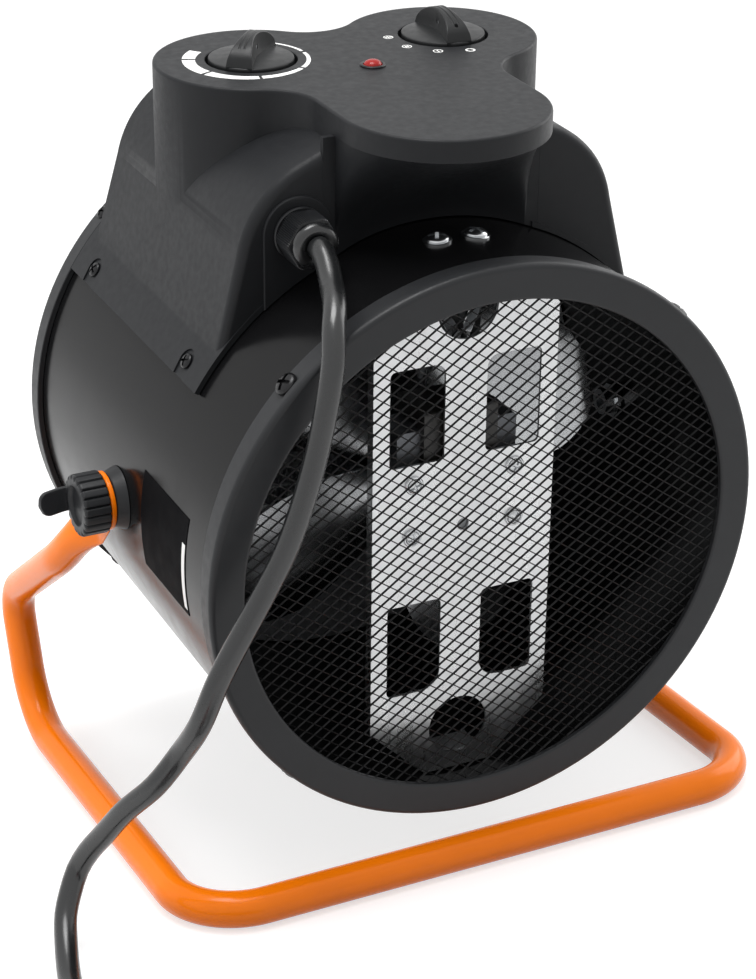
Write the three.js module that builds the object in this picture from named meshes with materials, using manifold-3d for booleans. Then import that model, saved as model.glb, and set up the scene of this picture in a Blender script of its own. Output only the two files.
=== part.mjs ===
/**
 * Drum fan heater with ceramic heating elements on a bent tube stand.
 * Millimetres, +Z up, air goes in at +Y and out at -Y. The origin lies under the middle of the
 * heater, on the surface that the stand rests on.
 */
import * as THREE from 'three';
import { mergeVertices } from 'three/addons/utils/BufferGeometryUtils.js';
import Module from 'manifold-3d';

const wasm = await Module();
wasm.setup();

// Fit and smoothness
const clearance = 0.3;
const overrun = 2;
const weldTolerance = 0.0005;
const drumSides = 44;
const roundSides = 14;
const smallSides = 12;
const tubeSides = 10;
const knobSides = 20;
const plugSides = 16;
const cordSides = 8;
const padSides = 8;
const coverStep = 18;
const coilSides = 6;
const arcStep = 24;

// Heater as a whole
const pivotHeight = 183.2;
const restTilt = 5.3;

// Drum
const drumRadius = 141.2;
const drumWall = 1.2;
const drumLength = 242.6;

// Guards
const guardThickness = 1.4;
const guardSeat = 5.2;
const netWidth = 46;
const netHeight = 31.4;
const netStrand = 2;

// Bezels
const bezelOverlap = 14.2;
const bezelFaceThickness = 2.7;
const bezelRim = 3.1;
const bezelRimLength = 5;
const bezelSkirtWall = 1.1;
const bezelSkirtLength = 11;
const bezelLip = 1;
const bezelEdge = 3.6;
const frontRimLength = 11.9;

// Motor bracket
const bracketInset = 26.1;
const bracketThickness = 1.5;
const bracketHalfWidth = 48.6;
const bracketShoulder = 33.2;
const bracketTabHalfWidth = 18;
const bracketTabLength = 26;
const bracketLip = 6;
const bracketRoundHole = 16;
const bracketRoundHoleInset = 27.8;
const bracketCentreHole = 3.2;
const windowInner = 11;
const windowOuter = 40;
const windowUpperLow = 36.7;
const windowUpperHigh = 87;
const windowLowerLow = 89;
const windowLowerHigh = 38.5;
const windowCorner = 3;
const windowBigCorner = 10;

// Motor
const motorDrop = 5;
const motorPlate = 1.5;
const postRadius = 3.5;
const postSpread = 27;
const postUpper = 26.5;
const postLower = -1.5;
const statorHalfWidth = 32;
const statorTop = 50;
const statorBottom = 18;
const statorStack = 22;
const statorLeg = 12;
const rotorRadius = 15;
const rotorAirGap = 1;
const shaftRadius = 4;
const bearingRadius = 8;
const bearingLength = 5;
const coilWall = 10;
const coilOverhang = 4;

// Fan
const fanRadius = 110;
const fanBlades = 4;
const fanFirstBlade = 150;
const fanHubRadius = 14;
const fanHubLength = 16;
const fanMiddle = 30;
const bladeThickness = 1.2;
const bladeTipDepth = 15;
const bladeRootDepth = 7;
const bladeWidth = 42;
const bladeCamber = 3.5;
const fanNutSize = 7;
const fanNutLength = 6;

// Heating elements
const baffleY = -52;
const baffleThickness = 1.5;
const baffleRim = 12;
const elementWidth = 150;
const elementPitch = 28;
const elementDepth = 26;
const elementCount = 5;
const elementBar = 9;
const elementFin = 2;
const elementFins = 8;
const railGrip = 5;
const railWall = 1.2;
const cutoutRadius = 8;
const cutoutHeight = 9;
const cutoutFlange = 12;

// Control housing
const housingWall = 3;
const housingRise = 60.8;
const housingRear = 56.2;
const housingFrontTop = -100;
const housingFrontFoot = -110;
const saddleRise = 42.8;
const lidSkirt = 10.7;
const lidEdge = 0.8;
const towerRadius = 48.8;
const towerX = 50.2;
const thermostatX = 53;
const selectorX = -50.3;
const towerSink = 31.1;
const towerY = -35.1;
const lobeRadius = 50.5;
const lobeY = 64.7;
const lobeFillet = 27;
const frontHollow = 25;
const flangeThickness = 2.5;
const flangeAngle = 32;
const chinHalfWidth = 53;
const chinY = 51;
const chinWall = 3;
const chinCurvePower = 1.8;
const chinRows = 5;
const roofThickness = 3;
const saddleShares = [
  [0.642, 0.325], [0.535, 0.755], [0.508, 0.891], [0.38, 0.951], [0.245, 0.9945], [0, 1],
];

// Knobs and switches
const knobRadius = 20.9;
const knobRecessGap = 1.4;
const knobRecessDepth = 6;
const knobDisc = 7;
const vaneRise = 11.5;
const vaneWidth = 13;
const vaneHalfLength = 20;
const vaneWaist = 3.7;
const vaneShoulder = 13;
const grooveShift = 1.3;
const spindleRadius = 3;
const spindleFlat = 1.65;
const spindleLength = 29;
const knobHole = 13;
const thermostatBodyWidth = 32;
const thermostatBodyDepth = 26;
const selectorBodyWidth = 28;
const selectorBodyDepth = 27;
const thermostatRest = 50;
const selectorRest = 87;

// Signal lamp
const lampX = 4;
const lampY = -1.8;
const lampRadius = 5;
const lampRim = 1.4;
const lampBodyLength = 16;
const lampDome = 2.8;

// Cable gland, wiring
const glandX = 69.5;
const glandRise = 6.8;
const glandThread = 10;
const glandPad = 17.5;
const glandPadRise = 1.5;
const glandNutSize = 13.6;
const glandNutLength = 14.7;
const glandNutRibs = 15;
const glandNutRib = 0.6;
const glandNutRound = 13.05;
const glandCollar = 12.9;
const glandLocknut = 13;
const glandLocknutLength = 5;
const glandSealLength = 4.2;
const glandSealRadius = 11;
const glandSealBore = 4.6;
const glandSealShoulder = 9.35;
const glandSealMouth = 7.7;
const grommetBore = 5;
const grommetGroove = 9;
const grommetLip = 2.2;
const terminalWidth = 30;
const terminalDepth = 24;
const terminalHeight = 15;
const terminalPoles = 5;
const leadRadius = 2.3;
const capillaryRadius = 1.2;
const bulbRadius = 3;
const bulbLength = 52;

// Pivot
const bossRadius = 16;
const bossOuterRadius = 13.5;
const bossRise = 6;
const insertRadius = 7;
const insertDepth = 9;
const insertFlange = 1.6;
const studRadius = 3.9;
const studLength = 27;
const eyeRadius = 14.8;
const eyeThickness = 2.6;
const clampRadius = 15.6;
const clampLength = 13.6;
const clampFlutes = 20;
const clampFluteDepth = 1.2;
const wingReach = 18;
const wingWidth = 16;
const wingThickness = 5;
const wingLean = 22;

// Stand
const standTube = 9;
const standSpread = 15.8;
const kneeBack = 142.5;
const kneeDrop = 102.7;
const footFront = 125;
const footRear = 117.6;
const shoulderBack = 54;
const shoulderDrop = 49;
const eyeNeckBack = 19;
const eyeNeckDrop = 17.2;
const neckBend = 30;
const shoulderBend = 60;
const kneeBend = 22;
const footFrontBend = 40;
const footRearBend = 35;
const flatStart = 24;
const flatEnd = 58;
const pressShares = [0.45, 0.7];

// Supply cable
const cableRadius = 5.5;
const cablePoints = [
  [69.5, 93.1, 323.2], [69.5, 97.1, 322.8], [70.5, 104.1, 319], [74, 116.6, 312], [79, 130.2, 307.2],
  [84.5, 140.5, 298.7], [88, 146.2, 285.1], [99, 148.6, 245.8], [114, 149.1, 208],
  [124.5, 147.3, 188.1], [149, 146.8, 150], [159.3, 143.3, 126], [165.2, 132, 108],
  [176.1, 126.2, 92], [187.6, 113, 75], [194.7, 102.5, 60], [200.8, 94.5, 48], [205.8, 91.1, 38],
  [211.9, 95, 28], [216.2, 100.1, 21], [220.2, 110.1, 14], [226, 130, 6.5], [233, 165, 5.8],
  [241, 205, 5.8], [247, 245, 5.8],
];
const cableRunSteps = 42;
const coilX = 182;
const coilY = 280;
const coilRadius = 67.3;
const coilPitch = 11.6;
const coilLift = 11.5;
const coilTurns = 2.75;
const coilClimb = 0.5;
const coilSteps = 24;
const tailBend = 45;
const tailSteps = 12;

// Plug
const plugCollar = 30;
const plugCollarLength = 40;
const plugGrip = 22;
const plugGripLength = 46;
const plugNut = 18.5;
const plugNutLength = 24;
const plugNutRibs = 10;
const plugWall = 3;
const plugInsertDepth = 8;
const plugPinRadius = 2.5;
const plugPinLength = 30;
const plugPinCircle = 14;
const plugPins = 5;

// Sizes that follow from the ones above
const drumInner = drumRadius - drumWall;
const drumHalf = drumLength / 2;
const drumFacet = drumRadius * (1 - Math.cos(Math.PI / drumSides));
const guardRadius = drumRadius - guardSeat;
const bezelOpening = drumRadius - bezelOverlap;
const guardInner = drumHalf + clearance;
const guardOuter = guardInner + guardThickness;
const bezelInnerFace = guardOuter + clearance;
const bezelFace = bezelInnerFace + bezelFaceThickness;
const bezelRadius = drumRadius + bezelRim;
const skirtInner = drumRadius + clearance;
const skirtOuter = skirtInner + bezelSkirtWall;
const bracketFace = drumHalf - bracketInset;
const bracketInner = bracketFace - bracketThickness;
const bracketHalfHeight = drumRadius - bracketShoulder;
const bracketRoundHoleHeight = drumRadius - bracketRoundHoleInset;
const rearPlateFace = bracketInner - motorDrop;
const statorRear = rearPlateFace - motorPlate - clearance;
const statorFront = statorRear - statorStack;
const frontPlateRear = statorFront - clearance;
const frontPlateFront = frontPlateRear - motorPlate;
const baffleFront = baffleY - baffleThickness;
const railRear = baffleFront - clearance;
const elementRear = railRear - railWall - clearance;
const elementFront = elementRear - elementDepth;
const railFront = elementFront - clearance - railWall;
const elementHalf = elementWidth / 2;
const railHeight = (elementPitch * elementCount) / 2 + overrun;
const housingTop = drumRadius + housingRise;
const saddleTop = drumRadius + saddleRise;
const glandZ = drumRadius + glandRise;
const lidBottom = housingTop - lidSkirt;
const plateUnder = housingTop - housingWall;
const recessFloor = housingTop - knobRecessDepth;
const recessUnder = recessFloor - housingWall;
const knobRecess = knobRadius + knobRecessGap;
const drumSkin = drumRadius + 2 * clearance;
const towerFoot = drumRadius - towerSink;
const flangeFront = frontRimLength + clearance - bezelFace;
const switchTop = recessUnder - clearance;
const bossFace = drumRadius + bossRise;
const eyeInner = bossFace + clearance;
const eyeMiddle = eyeInner + eyeThickness / 2;
const clampInner = eyeInner + eyeThickness + clearance;
const clampOuter = clampInner + clampLength;
const footDrop = pivotHeight - standTube;
const standHalfWidth = drumRadius + standSpread;
const sinTilt = Math.sin(THREE.MathUtils.degToRad(restTilt));
const cosTilt = Math.cos(THREE.MathUtils.degToRad(restTilt));

/** Colour, roughness and metalness of each finish. */
const finishes = {
  drum: [0x1c1c1d, 0.45, 0.2],
  bezel: [0x222324, 0.5, 0.1],
  housing: [0x333436, 0.65, 0],
  net: [0x161617, 0.5, 0.4],
  zinc: [0xd4d6d8, 0.35, 0.9],
  laminate: [0x77797c, 0.5, 0.8],
  aluminium: [0xc9ccd0, 0.25, 1],
  steel: [0xb9bcc0, 0.3, 1],
  ceramic: [0x8f9194, 0.6, 0.3],
  orange: [0xf07c0c, 0.3, 0],
  knob: [0x19191a, 0.45, 0],
  rubber: [0x131314, 0.6, 0],
  cable: [0x151516, 0.35, 0],
  lamp: [0xa01410, 0.2, 0],
  white: [0xd9d9d4, 0.5, 0],
  copper: [0xb0693a, 0.35, 1],
  red: [0xb3211c, 0.5, 0],
  brass: [0xc9a44c, 0.3, 1],
};

/** A fresh material in one of the finishes. */
function finish(name) {
  const [color, roughness, metalness] = finishes[name];
  return new THREE.MeshStandardMaterial({ color, roughness, metalness, flatShading: true });
}

/** Six times the volume that a list of triangles encloses, negative when they face inwards. */
function enclosed(position, faces) {
  const corners = [new THREE.Vector3(), new THREE.Vector3(), new THREE.Vector3()];
  let sum = 0;
  for (let i = 0; i < faces.length; i += 3) {
    corners.forEach((corner, k) => corner.fromBufferAttribute(position, faces[i + k]));
    sum += corners[0].dot(corners[1].cross(corners[2]));
  }
  return sum;
}

/** Makes closed three.js geometry into a solid that can be joined and cut. */
function solid(geometry) {
  const bare = new THREE.BufferGeometry();
  bare.setAttribute('position', geometry.getAttribute('position').clone());
  if (geometry.index) bare.setIndex(geometry.index.clone());
  const merged = mergeVertices(bare, weldTolerance);
  const position = merged.getAttribute('position');
  const faces = [];
  for (let i = 0; i < merged.index.count; i += 3) {
    const [a, b, c] = [0, 1, 2].map((k) => merged.index.getX(i + k));
    if (a !== b && b !== c && c !== a) faces.push(a, b, c);
  }
  if (enclosed(position, faces) < 0) faces.reverse();
  const vertProperties = new Float32Array(position.array);
  const triVerts = new Uint32Array(faces);
  return new wasm.Manifold(new wasm.Mesh({ numProp: 3, vertProperties, triVerts }));
}

/** The three.js geometry of a solid. */
function geometryOf(shape) {
  const { vertProperties, triVerts } = shape.getMesh();
  const geometry = new THREE.BufferGeometry();
  geometry.setAttribute('position', new THREE.BufferAttribute(vertProperties, 3));
  geometry.setIndex(new THREE.BufferAttribute(triVerts, 1));
  geometry.computeVertexNormals();
  return geometry;
}

/** Joins several solids into one. */
function joined(...shapes) {
  return shapes.reduce((whole, shape) => whole.add(shape));
}

/** Cuts several solids away from the first. */
function cut(body, ...tools) {
  return tools.reduce((rest, tool) => rest.subtract(tool), body);
}

/** Adds a named sub-part to a group. */
function addPiece(group, name, finishName, shape) {
  const mesh = new THREE.Mesh(geometryOf(shape), finish(finishName));
  mesh.name = name;
  group.add(mesh);
}

/** Turns geometry that was made about the Y axis to the named axis. */
function toAxis(geometry, axis) {
  if (axis === 'x') return geometry.rotateZ(-Math.PI / 2);
  if (axis === 'z') return geometry.rotateX(Math.PI / 2);
  return geometry;
}

/** A round bar along an axis between two heights, centred on the point at. */
function bar(radius, low, high, axis = 'y', at = [0, 0, 0], sides = roundSides) {
  const geometry = new THREE.CylinderGeometry(radius, radius, high - low, sides);
  geometry.translate(0, (low + high) / 2, 0);
  return solid(toAxis(geometry, axis).translate(...at));
}

/** A closed profile of radius and height points, turned about an axis. */
function turned(profile, axis = 'y', at = [0, 0, 0], sides = roundSides) {
  const points = [...profile, profile[0]].map(([radius, height]) => new THREE.Vector2(radius, height));
  return solid(toAxis(new THREE.LatheGeometry(points, sides), axis).translate(...at));
}

/** The profile of a plain ring or sleeve. */
function sleeve(inner, outer, low, high) {
  return [[inner, low], [outer, low], [outer, high], [inner, high]];
}

/** A rectangular block between two corners. */
function block([x0, y0, z0], [x1, y1, z1]) {
  const geometry = new THREE.BoxGeometry(x1 - x0, y1 - y0, z1 - z0);
  return solid(geometry.translate((x0 + x1) / 2, (y0 + y1) / 2, (z0 + z1) / 2));
}

/** An outline drawn through straight points. */
function outline(points) {
  return new THREE.Shape(points.map(([x, y]) => new THREE.Vector2(x, y)));
}

/** Mirrors half an outline about its second axis. */
function bothSides(points) {
  return [...points, ...points.filter(([x]) => x !== 0).map(([x, y]) => [-x, y]).reverse()];
}

/** A rectangle with a fillet of its own at each corner, from the lower left one anticlockwise. */
function filleted(x0, y0, x1, y1, fillets) {
  const [a, b, c, d] = fillets;
  const shape = new THREE.Shape();
  shape.moveTo(x0 + a, y0);
  shape.lineTo(x1 - b, y0);
  shape.absarc(x1 - b, y0 + b, b, -Math.PI / 2, 0);
  shape.lineTo(x1, y1 - c);
  shape.absarc(x1 - c, y1 - c, c, 0, Math.PI / 2);
  shape.lineTo(x0 + d, y1);
  shape.absarc(x0 + d, y1 - d, d, Math.PI / 2, Math.PI);
  shape.lineTo(x0, y0 + a);
  shape.absarc(x0 + a, y0 + a, a, Math.PI, 1.5 * Math.PI);
  return shape;
}

/**
 * A flat outline made thick between two heights of an axis. The outline is drawn in x and y for
 * axis z, in x and z for axis y, and in y and z for axis x.
 */
function plate(shape, low, high, axis, curveSegments = 4) {
  const options = { depth: high - low, bevelEnabled: false, curveSegments };
  const geometry = new THREE.ExtrudeGeometry(shape, options);
  if (axis === 'y') return solid(geometry.rotateX(Math.PI / 2).translate(0, high, 0));
  if (axis === 'z') return solid(geometry.translate(0, 0, low));
  const [x, y, z] = [new THREE.Vector3(1, 0, 0), new THREE.Vector3(0, 1, 0), new THREE.Vector3(0, 0, 1)];
  geometry.applyMatrix4(new THREE.Matrix4().makeBasis(y, z, x));
  return solid(geometry.translate(low, 0, 0));
}

/** A curve through stations, which an extrusion meets one by one. */
class StationPath extends THREE.Curve {
  constructor(stations) {
    super();
    this.stations = stations;
  }

  getPoint(t, target = new THREE.Vector3()) {
    const place = t * (this.stations.length - 1);
    const before = Math.min(Math.floor(place), this.stations.length - 2);
    return target.lerpVectors(this.stations[before], this.stations[before + 1], place - before);
  }

  getUtoTmapping(u) {
    return u;
  }

  getTangent(t, target = new THREE.Vector3()) {
    const last = this.stations.length - 1;
    const index = Math.round(t * last);
    target.set(0, 0, 0);
    for (const step of [Math.max(index - 1, 0), Math.min(index, last - 1)]) {
      target.add(this.stations[step + 1].clone().sub(this.stations[step]).normalize());
    }
    return target.normalize();
  }
}

/** The stations of a path of straight runs with an arc at each inner point. */
function filletedPath(points, bends) {
  const corners = points.map((point) => new THREE.Vector3(...point));
  const stations = [corners[0]];
  bends.forEach((bend, k) => {
    const corner = corners[k + 1];
    const back = corners[k].clone().sub(corner).normalize();
    const ahead = corners[k + 2].clone().sub(corner).normalize();
    const turn = Math.PI - back.angleTo(ahead);
    const reach = bend * Math.tan(turn / 2);
    const middle = back.clone().add(ahead).normalize().multiplyScalar(bend / Math.cos(turn / 2));
    const centre = corner.clone().add(middle);
    const start = corner.clone().addScaledVector(back, reach).sub(centre);
    const axis = ahead.clone().cross(back).normalize();
    const steps = Math.max(1, Math.round(THREE.MathUtils.radToDeg(turn) / arcStep));
    for (let i = 0; i <= steps; i++) {
      const spoke = start.clone().applyAxisAngle(axis, (turn * i) / steps);
      stations.push(spoke.add(centre));
    }
  });
  stations.push(corners.at(-1));
  return stations;
}

/** A circle of straight sides, for sweeping. */
function ringOutline(radius, sides) {
  const corners = Array.from({ length: sides }, (_, i) => (2 * Math.PI * i) / sides);
  return outline(corners.map((angle) => [radius * Math.cos(angle), radius * Math.sin(angle)]));
}

/** A round tube, filled, along stations. */
function sweptGeometry(stations, radius, sides) {
  const path = new StationPath(stations);
  const options = { steps: stations.length - 1, extrudePath: path, bevelEnabled: false };
  return new THREE.ExtrudeGeometry(ringOutline(radius, sides), options);
}

/** A closed skin over a grid of points, made thick along Y. */
function thickSheet(grid, thickness) {
  const rows = grid.length;
  const columns = grid[0].length;
  const vertices = [];
  for (const offset of [0, -thickness]) {
    for (const row of grid) row.forEach(([x, y, z]) => vertices.push(x, y + offset, z));
  }
  const index = (side, i, j) => side * rows * columns + i * columns + j;
  const faces = [];
  const quad = (a, b, c, d) => faces.push(a, b, c, a, c, d);
  for (let i = 0; i < rows - 1; i++) {
    for (let j = 0; j < columns - 1; j++) {
      quad(index(0, i, j), index(0, i, j + 1), index(0, i + 1, j + 1), index(0, i + 1, j));
      quad(index(1, i, j), index(1, i + 1, j), index(1, i + 1, j + 1), index(1, i, j + 1));
    }
  }
  for (let i = 0; i < rows - 1; i++) {
    quad(index(0, i, 0), index(0, i + 1, 0), index(1, i + 1, 0), index(1, i, 0));
    const edge = columns - 1;
    quad(index(0, i + 1, edge), index(0, i, edge), index(1, i, edge), index(1, i + 1, edge));
  }
  for (let j = 0; j < columns - 1; j++) {
    quad(index(0, 0, j + 1), index(0, 0, j), index(1, 0, j), index(1, 0, j + 1));
    const end = rows - 1;
    quad(index(0, end, j), index(0, end, j + 1), index(1, end, j + 1), index(1, end, j));
  }
  const geometry = new THREE.BufferGeometry();
  geometry.setAttribute('position', new THREE.Float32BufferAttribute(vertices, 3));
  geometry.setIndex(faces);
  return solid(geometry);
}

// Drum, bezels and guards

/** The rolled steel drum with holes for the wiring and for the two pivots. */
function drumShell() {
  const shell = turned(sleeve(drumInner, drumRadius, -drumHalf, drumHalf), 'y', [0, 0, 0], drumSides);
  const wiring = bar(
    grommetGroove + clearance, drumInner - overrun, drumRadius + overrun, 'z', [0, towerY, 0],
  );
  const reach = drumRadius + overrun;
  return cut(shell, wiring, bar(insertRadius + clearance, -reach, reach, 'x'));
}

/** A bezel that slips over a drum end: opening lip, face, rim and, on some, a skirt. */
function bezel(side, rimLength, skirtLength) {
  const back = bezelFace - rimLength;
  const skirt = [
    [skirtInner, back - skirtLength], [skirtOuter, back - skirtLength], [skirtOuter, back],
  ];
  const profile = [
    [bezelOpening, bezelInnerFace],
    [skirtInner, bezelInnerFace],
    ...(skirtLength > 0 ? skirt : [[skirtInner, back]]),
    [bezelRadius, back],
    [bezelRadius, bezelFace - bezelEdge],
    [bezelRadius - bezelEdge, bezelFace],
    [bezelOpening + bezelLip, bezelFace],
    [bezelOpening, bezelFace - bezelLip],
  ];
  const placed = profile.map(([radius, y]) => [radius, side * y]);
  return turned(placed, 'y', [0, 0, 0], drumSides);
}

/** An expanded metal net in a flat ring. */
function guard(side) {
  const [low, high] = side > 0 ? [guardInner, guardOuter] : [-guardOuter, -guardInner];
  const slope = Math.atan2(netHeight, netWidth);
  const halfWidth = netWidth / 2 - netStrand / 2 / Math.sin(slope);
  const halfHeight = netHeight / 2 - netStrand / 2 / Math.cos(slope);
  const diamonds = [];
  const columns = Math.ceil((2 * bezelOpening) / netWidth);
  const rows = Math.ceil((2 * bezelOpening) / netHeight);
  for (let i = -columns; i <= columns; i++) {
    for (let j = -rows; j <= rows; j++) {
      const [x, z] = [(i * netWidth) / 2, (j * netHeight) / 2];
      const inside = Math.hypot(x, z) < bezelOpening - netStrand;
      if ((i + j) % 2 !== 0 || !inside) continue;
      diamonds.push(outline([
        [x - halfWidth, z], [x, z - halfHeight], [x + halfWidth, z], [x, z + halfHeight],
      ]));
    }
  }
  const holes = plate(diamonds, low - overrun, high + overrun, 'y');
  const field = bar(bezelOpening, low - overrun, high + overrun, 'y', [0, 0, 0], drumSides);
  const disc = bar(guardRadius, low, high, 'y', [0, 0, 0], drumSides);
  return cut(disc, holes.intersect(field));
}

// Motor and fan

/** The sheet bracket across the intake, with its windows, lips and bent end tabs. */
function motorBracket() {
  const tabOuter = Math.sqrt((drumInner - drumFacet) ** 2 - bracketTabHalfWidth ** 2) - clearance;
  const tabInner = tabOuter - bracketThickness;
  const sheet = outline(bothSides([
    [bracketTabHalfWidth, tabOuter],
    [bracketHalfWidth, bracketHalfHeight],
    [bracketHalfWidth, -bracketHalfHeight],
    [bracketTabHalfWidth, -tabOuter],
  ]));
  const [small, big] = [windowCorner, windowBigCorner];
  const upper = [windowUpperLow, windowUpperHigh];
  const lower = [-windowLowerLow, -windowLowerHigh];
  sheet.holes.push(
    filleted(windowInner, upper[0], windowOuter, upper[1], [small, small, small, 2 * small]),
    filleted(-windowOuter, upper[0], -windowInner, upper[1], [small, small, 2 * small, small]),
    filleted(windowInner, lower[0], windowOuter, lower[1], [big, small, small, small]),
    filleted(-windowOuter, lower[0], -windowInner, lower[1], [small, big, small, small]),
  );
  const lipTop = bracketHalfHeight - bracketLip;
  const parts = [plate(sheet, bracketInner, bracketFace, 'y', 1)];
  for (const side of [1, -1]) {
    const [tabLow, tabHigh] = side > 0 ? [tabInner, tabOuter] : [-tabOuter, -tabInner];
    parts.push(block(
      [-bracketTabHalfWidth, bracketFace - bracketTabLength, tabLow],
      [bracketTabHalfWidth, bracketFace, tabHigh],
    ));
    const lipX = side * bracketHalfWidth;
    const lipInner = side * (bracketHalfWidth - bracketThickness);
    parts.push(block(
      [Math.min(lipX, lipInner), bracketFace - bracketLip, -lipTop],
      [Math.max(lipX, lipInner), bracketFace, lipTop],
    ));
  }
  const through = [bracketInner - overrun, bracketFace + overrun];
  return cut(
    joined(...parts),
    bar(bracketCentreHole, ...through, 'y', [0, 0, 0], smallSides),
    bar(bracketRoundHole, ...through, 'y', [0, 0, bracketRoundHoleHeight]),
    bar(bracketRoundHole, ...through, 'y', [0, 0, -bracketRoundHoleHeight]),
  );
}

/** A bearing bridge across the rotor bore, with arms up both sides of the winding. */
function bearingBridge(low, high) {
  const armInner = statorHalfWidth - statorLeg + overrun;
  const armTop = postUpper + postRadius;
  const bridge = outline(bothSides([
    [armInner, statorLeg], [armInner, armTop], [statorHalfWidth, armTop], [statorHalfWidth, -statorLeg],
  ]));
  return plate(bridge, low, high, 'y');
}

/** The rear bearing bridge, with a closed bearing cap and four posts to the bracket. */
function motorRearPlate() {
  const bridge = bearingBridge(rearPlateFace - motorPlate, rearPlateFace);
  const posts = [];
  for (const x of [-postSpread, postSpread]) {
    for (const z of [postLower, postUpper]) {
      const length = bracketInner - clearance;
      posts.push(bar(postRadius, rearPlateFace - motorPlate / 2, length, 'y', [x, 0, z], smallSides));
    }
  }
  const cap = bar(bearingRadius, rearPlateFace - motorPlate, bracketInner - clearance);
  const bore = bar(
    shaftRadius + clearance, rearPlateFace - motorPlate - overrun, rearPlateFace + overrun,
  );
  return cut(joined(bridge, cap, ...posts), bore);
}

/** The front bearing bridge, with its bearing sleeve. */
function motorFrontPlate() {
  const bridge = bearingBridge(frontPlateFront, frontPlateRear);
  const bearing = bar(bearingRadius, frontPlateFront - bearingLength, frontPlateRear);
  const through = [frontPlateFront - bearingLength - overrun, frontPlateRear + overrun];
  return cut(joined(bridge, bearing), bar(shaftRadius + clearance, ...through));
}

/** The laminated stator frame, with a rotor bore below and a window for the winding above. */
function motorStator() {
  const inner = statorHalfWidth - statorLeg;
  const windowLow = rotorRadius + rotorAirGap + clearance + overrun;
  const windowHigh = statorTop - statorLeg;
  const frame = filleted(
    -statorHalfWidth, -statorBottom, statorHalfWidth, statorTop, [overrun, overrun, overrun, overrun],
  );
  frame.holes.push(outline([
    [-inner, windowLow], [inner, windowLow], [inner, windowHigh], [-inner, windowHigh],
  ]));
  const stack = plate(frame, statorFront, statorRear, 'y', 2);
  return cut(stack, bar(rotorRadius + rotorAirGap, statorFront - overrun, statorRear + overrun));
}

/** The winding round the stator's upper leg. */
function motorCoil() {
  const windowHigh = statorTop - statorLeg;
  const half = statorHalfWidth - statorLeg - clearance;
  const [rear, front] = [statorRear + coilOverhang, statorFront - coilOverhang];
  const winding = filleted(
    front, windowHigh - coilWall, rear, statorTop + coilWall, [overrun, overrun, overrun, overrun],
  );
  winding.holes.push(outline([
    [statorFront - clearance, windowHigh - clearance], [statorRear + clearance, windowHigh - clearance],
    [statorRear + clearance, statorTop + clearance], [statorFront - clearance, statorTop + clearance],
  ]));
  return plate(winding, -half, half, 'x', 2);
}

/** The rotor core on its shaft, which carries the fan. */
function motorRotor() {
  const shaftRear = rearPlateFace;
  const shaftFront = fanMiddle - fanHubLength / 2 - fanNutLength - 2 * overrun;
  return turned([
    [0, shaftFront], [shaftRadius, shaftFront],
    [shaftRadius, statorFront + overrun], [rotorRadius, statorFront + overrun],
    [rotorRadius, statorRear - overrun], [shaftRadius, statorRear - overrun],
    [shaftRadius, shaftRear], [0, shaftRear],
  ]);
}

/** One pitched fan blade, wide in the middle and rounded at its tip, at an angle round the hub. */
function fanBlade(angle) {
  const root = fanHubRadius - overrun;
  const widthShares = [0.3, 0.62, 0.9, 1, 0.8, 0.36];
  const radiusShares = [0, 0.25, 0.5, 0.75, 0.93, 1];
  const grid = radiusShares.map((share, i) => {
    const radius = root + (fanRadius - root) * share;
    const depth = bladeRootDepth + (bladeTipDepth - bladeRootDepth) * share;
    const half = bladeWidth * widthShares[i];
    return [-1, -0.5, 0, 0.5, 1].map((v) => {
      const turn = angle + (half * v) / radius;
      const camber = bladeCamber * (1 - v * v);
      return [radius * Math.cos(turn), fanMiddle + depth * v * widthShares[i] + camber, radius * Math.sin(turn)];
    });
  });
  return thickSheet(grid, bladeThickness);
}

/** The four bladed fan on its hub. */
function fan() {
  const half = fanHubLength / 2;
  const hub = bar(fanHubRadius, fanMiddle - half, fanMiddle + half);
  const blades = Array.from({ length: fanBlades }, (_, i) => {
    return fanBlade(THREE.MathUtils.degToRad(fanFirstBlade - (360 / fanBlades) * i));
  });
  const bore = bar(shaftRadius + clearance, fanMiddle - half - overrun, fanMiddle + half + overrun);
  return cut(joined(hub, ...blades), bore);
}

/** A hexagonal nut with a bore, along Y. */
function hexNut(size, bore, low, high) {
  return cut(bar(size, low, high, 'y', [0, 0, 0], 6), bar(bore, low - overrun, high + overrun));
}

// Heating elements

/** The disc that shuts off the drum round the heating elements. */
function elementFrame() {
  const rim = drumInner - drumFacet - clearance;
  const profile = [
    [0, baffleFront], [rim - railWall, baffleFront], [rim - railWall, baffleY - baffleRim],
    [rim, baffleY - baffleRim], [rim, baffleY], [0, baffleY],
  ];
  const disc = turned(profile, 'y', [0, 0, 0], drumSides);
  const halfWidth = elementHalf - railGrip / 2;
  const halfHeight = (elementPitch * elementCount) / 2;
  return cut(disc, block(
    [-halfWidth, baffleFront - overrun, -halfHeight], [halfWidth, baffleY + overrun, halfHeight],
  ));
}

/** One ceramic bar between two rows of aluminium fins. */
function ceramicElement(index) {
  const middle = (index - (elementCount - 1) / 2) * elementPitch;
  const reach = elementPitch / 2 - clearance / 2;
  const pitch = elementWidth / elementFins;
  const top = [];
  for (let i = 0; i < elementFins; i++) {
    const left = -elementHalf + pitch * i + (pitch - elementFin) / 2;
    top.push([left, elementBar / 2], [left, reach], [left + elementFin, reach], [left + elementFin, elementBar / 2]);
  }
  const upper = [[-elementHalf, elementBar / 2], ...top, [elementHalf, elementBar / 2]];
  const lower = upper.map(([x, z]) => [x, -z]).reverse();
  const comb = outline([...upper, ...lower].map(([x, z]) => [x, middle + z]));
  return plate(comb, elementFront, elementRear, 'y');
}

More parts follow.
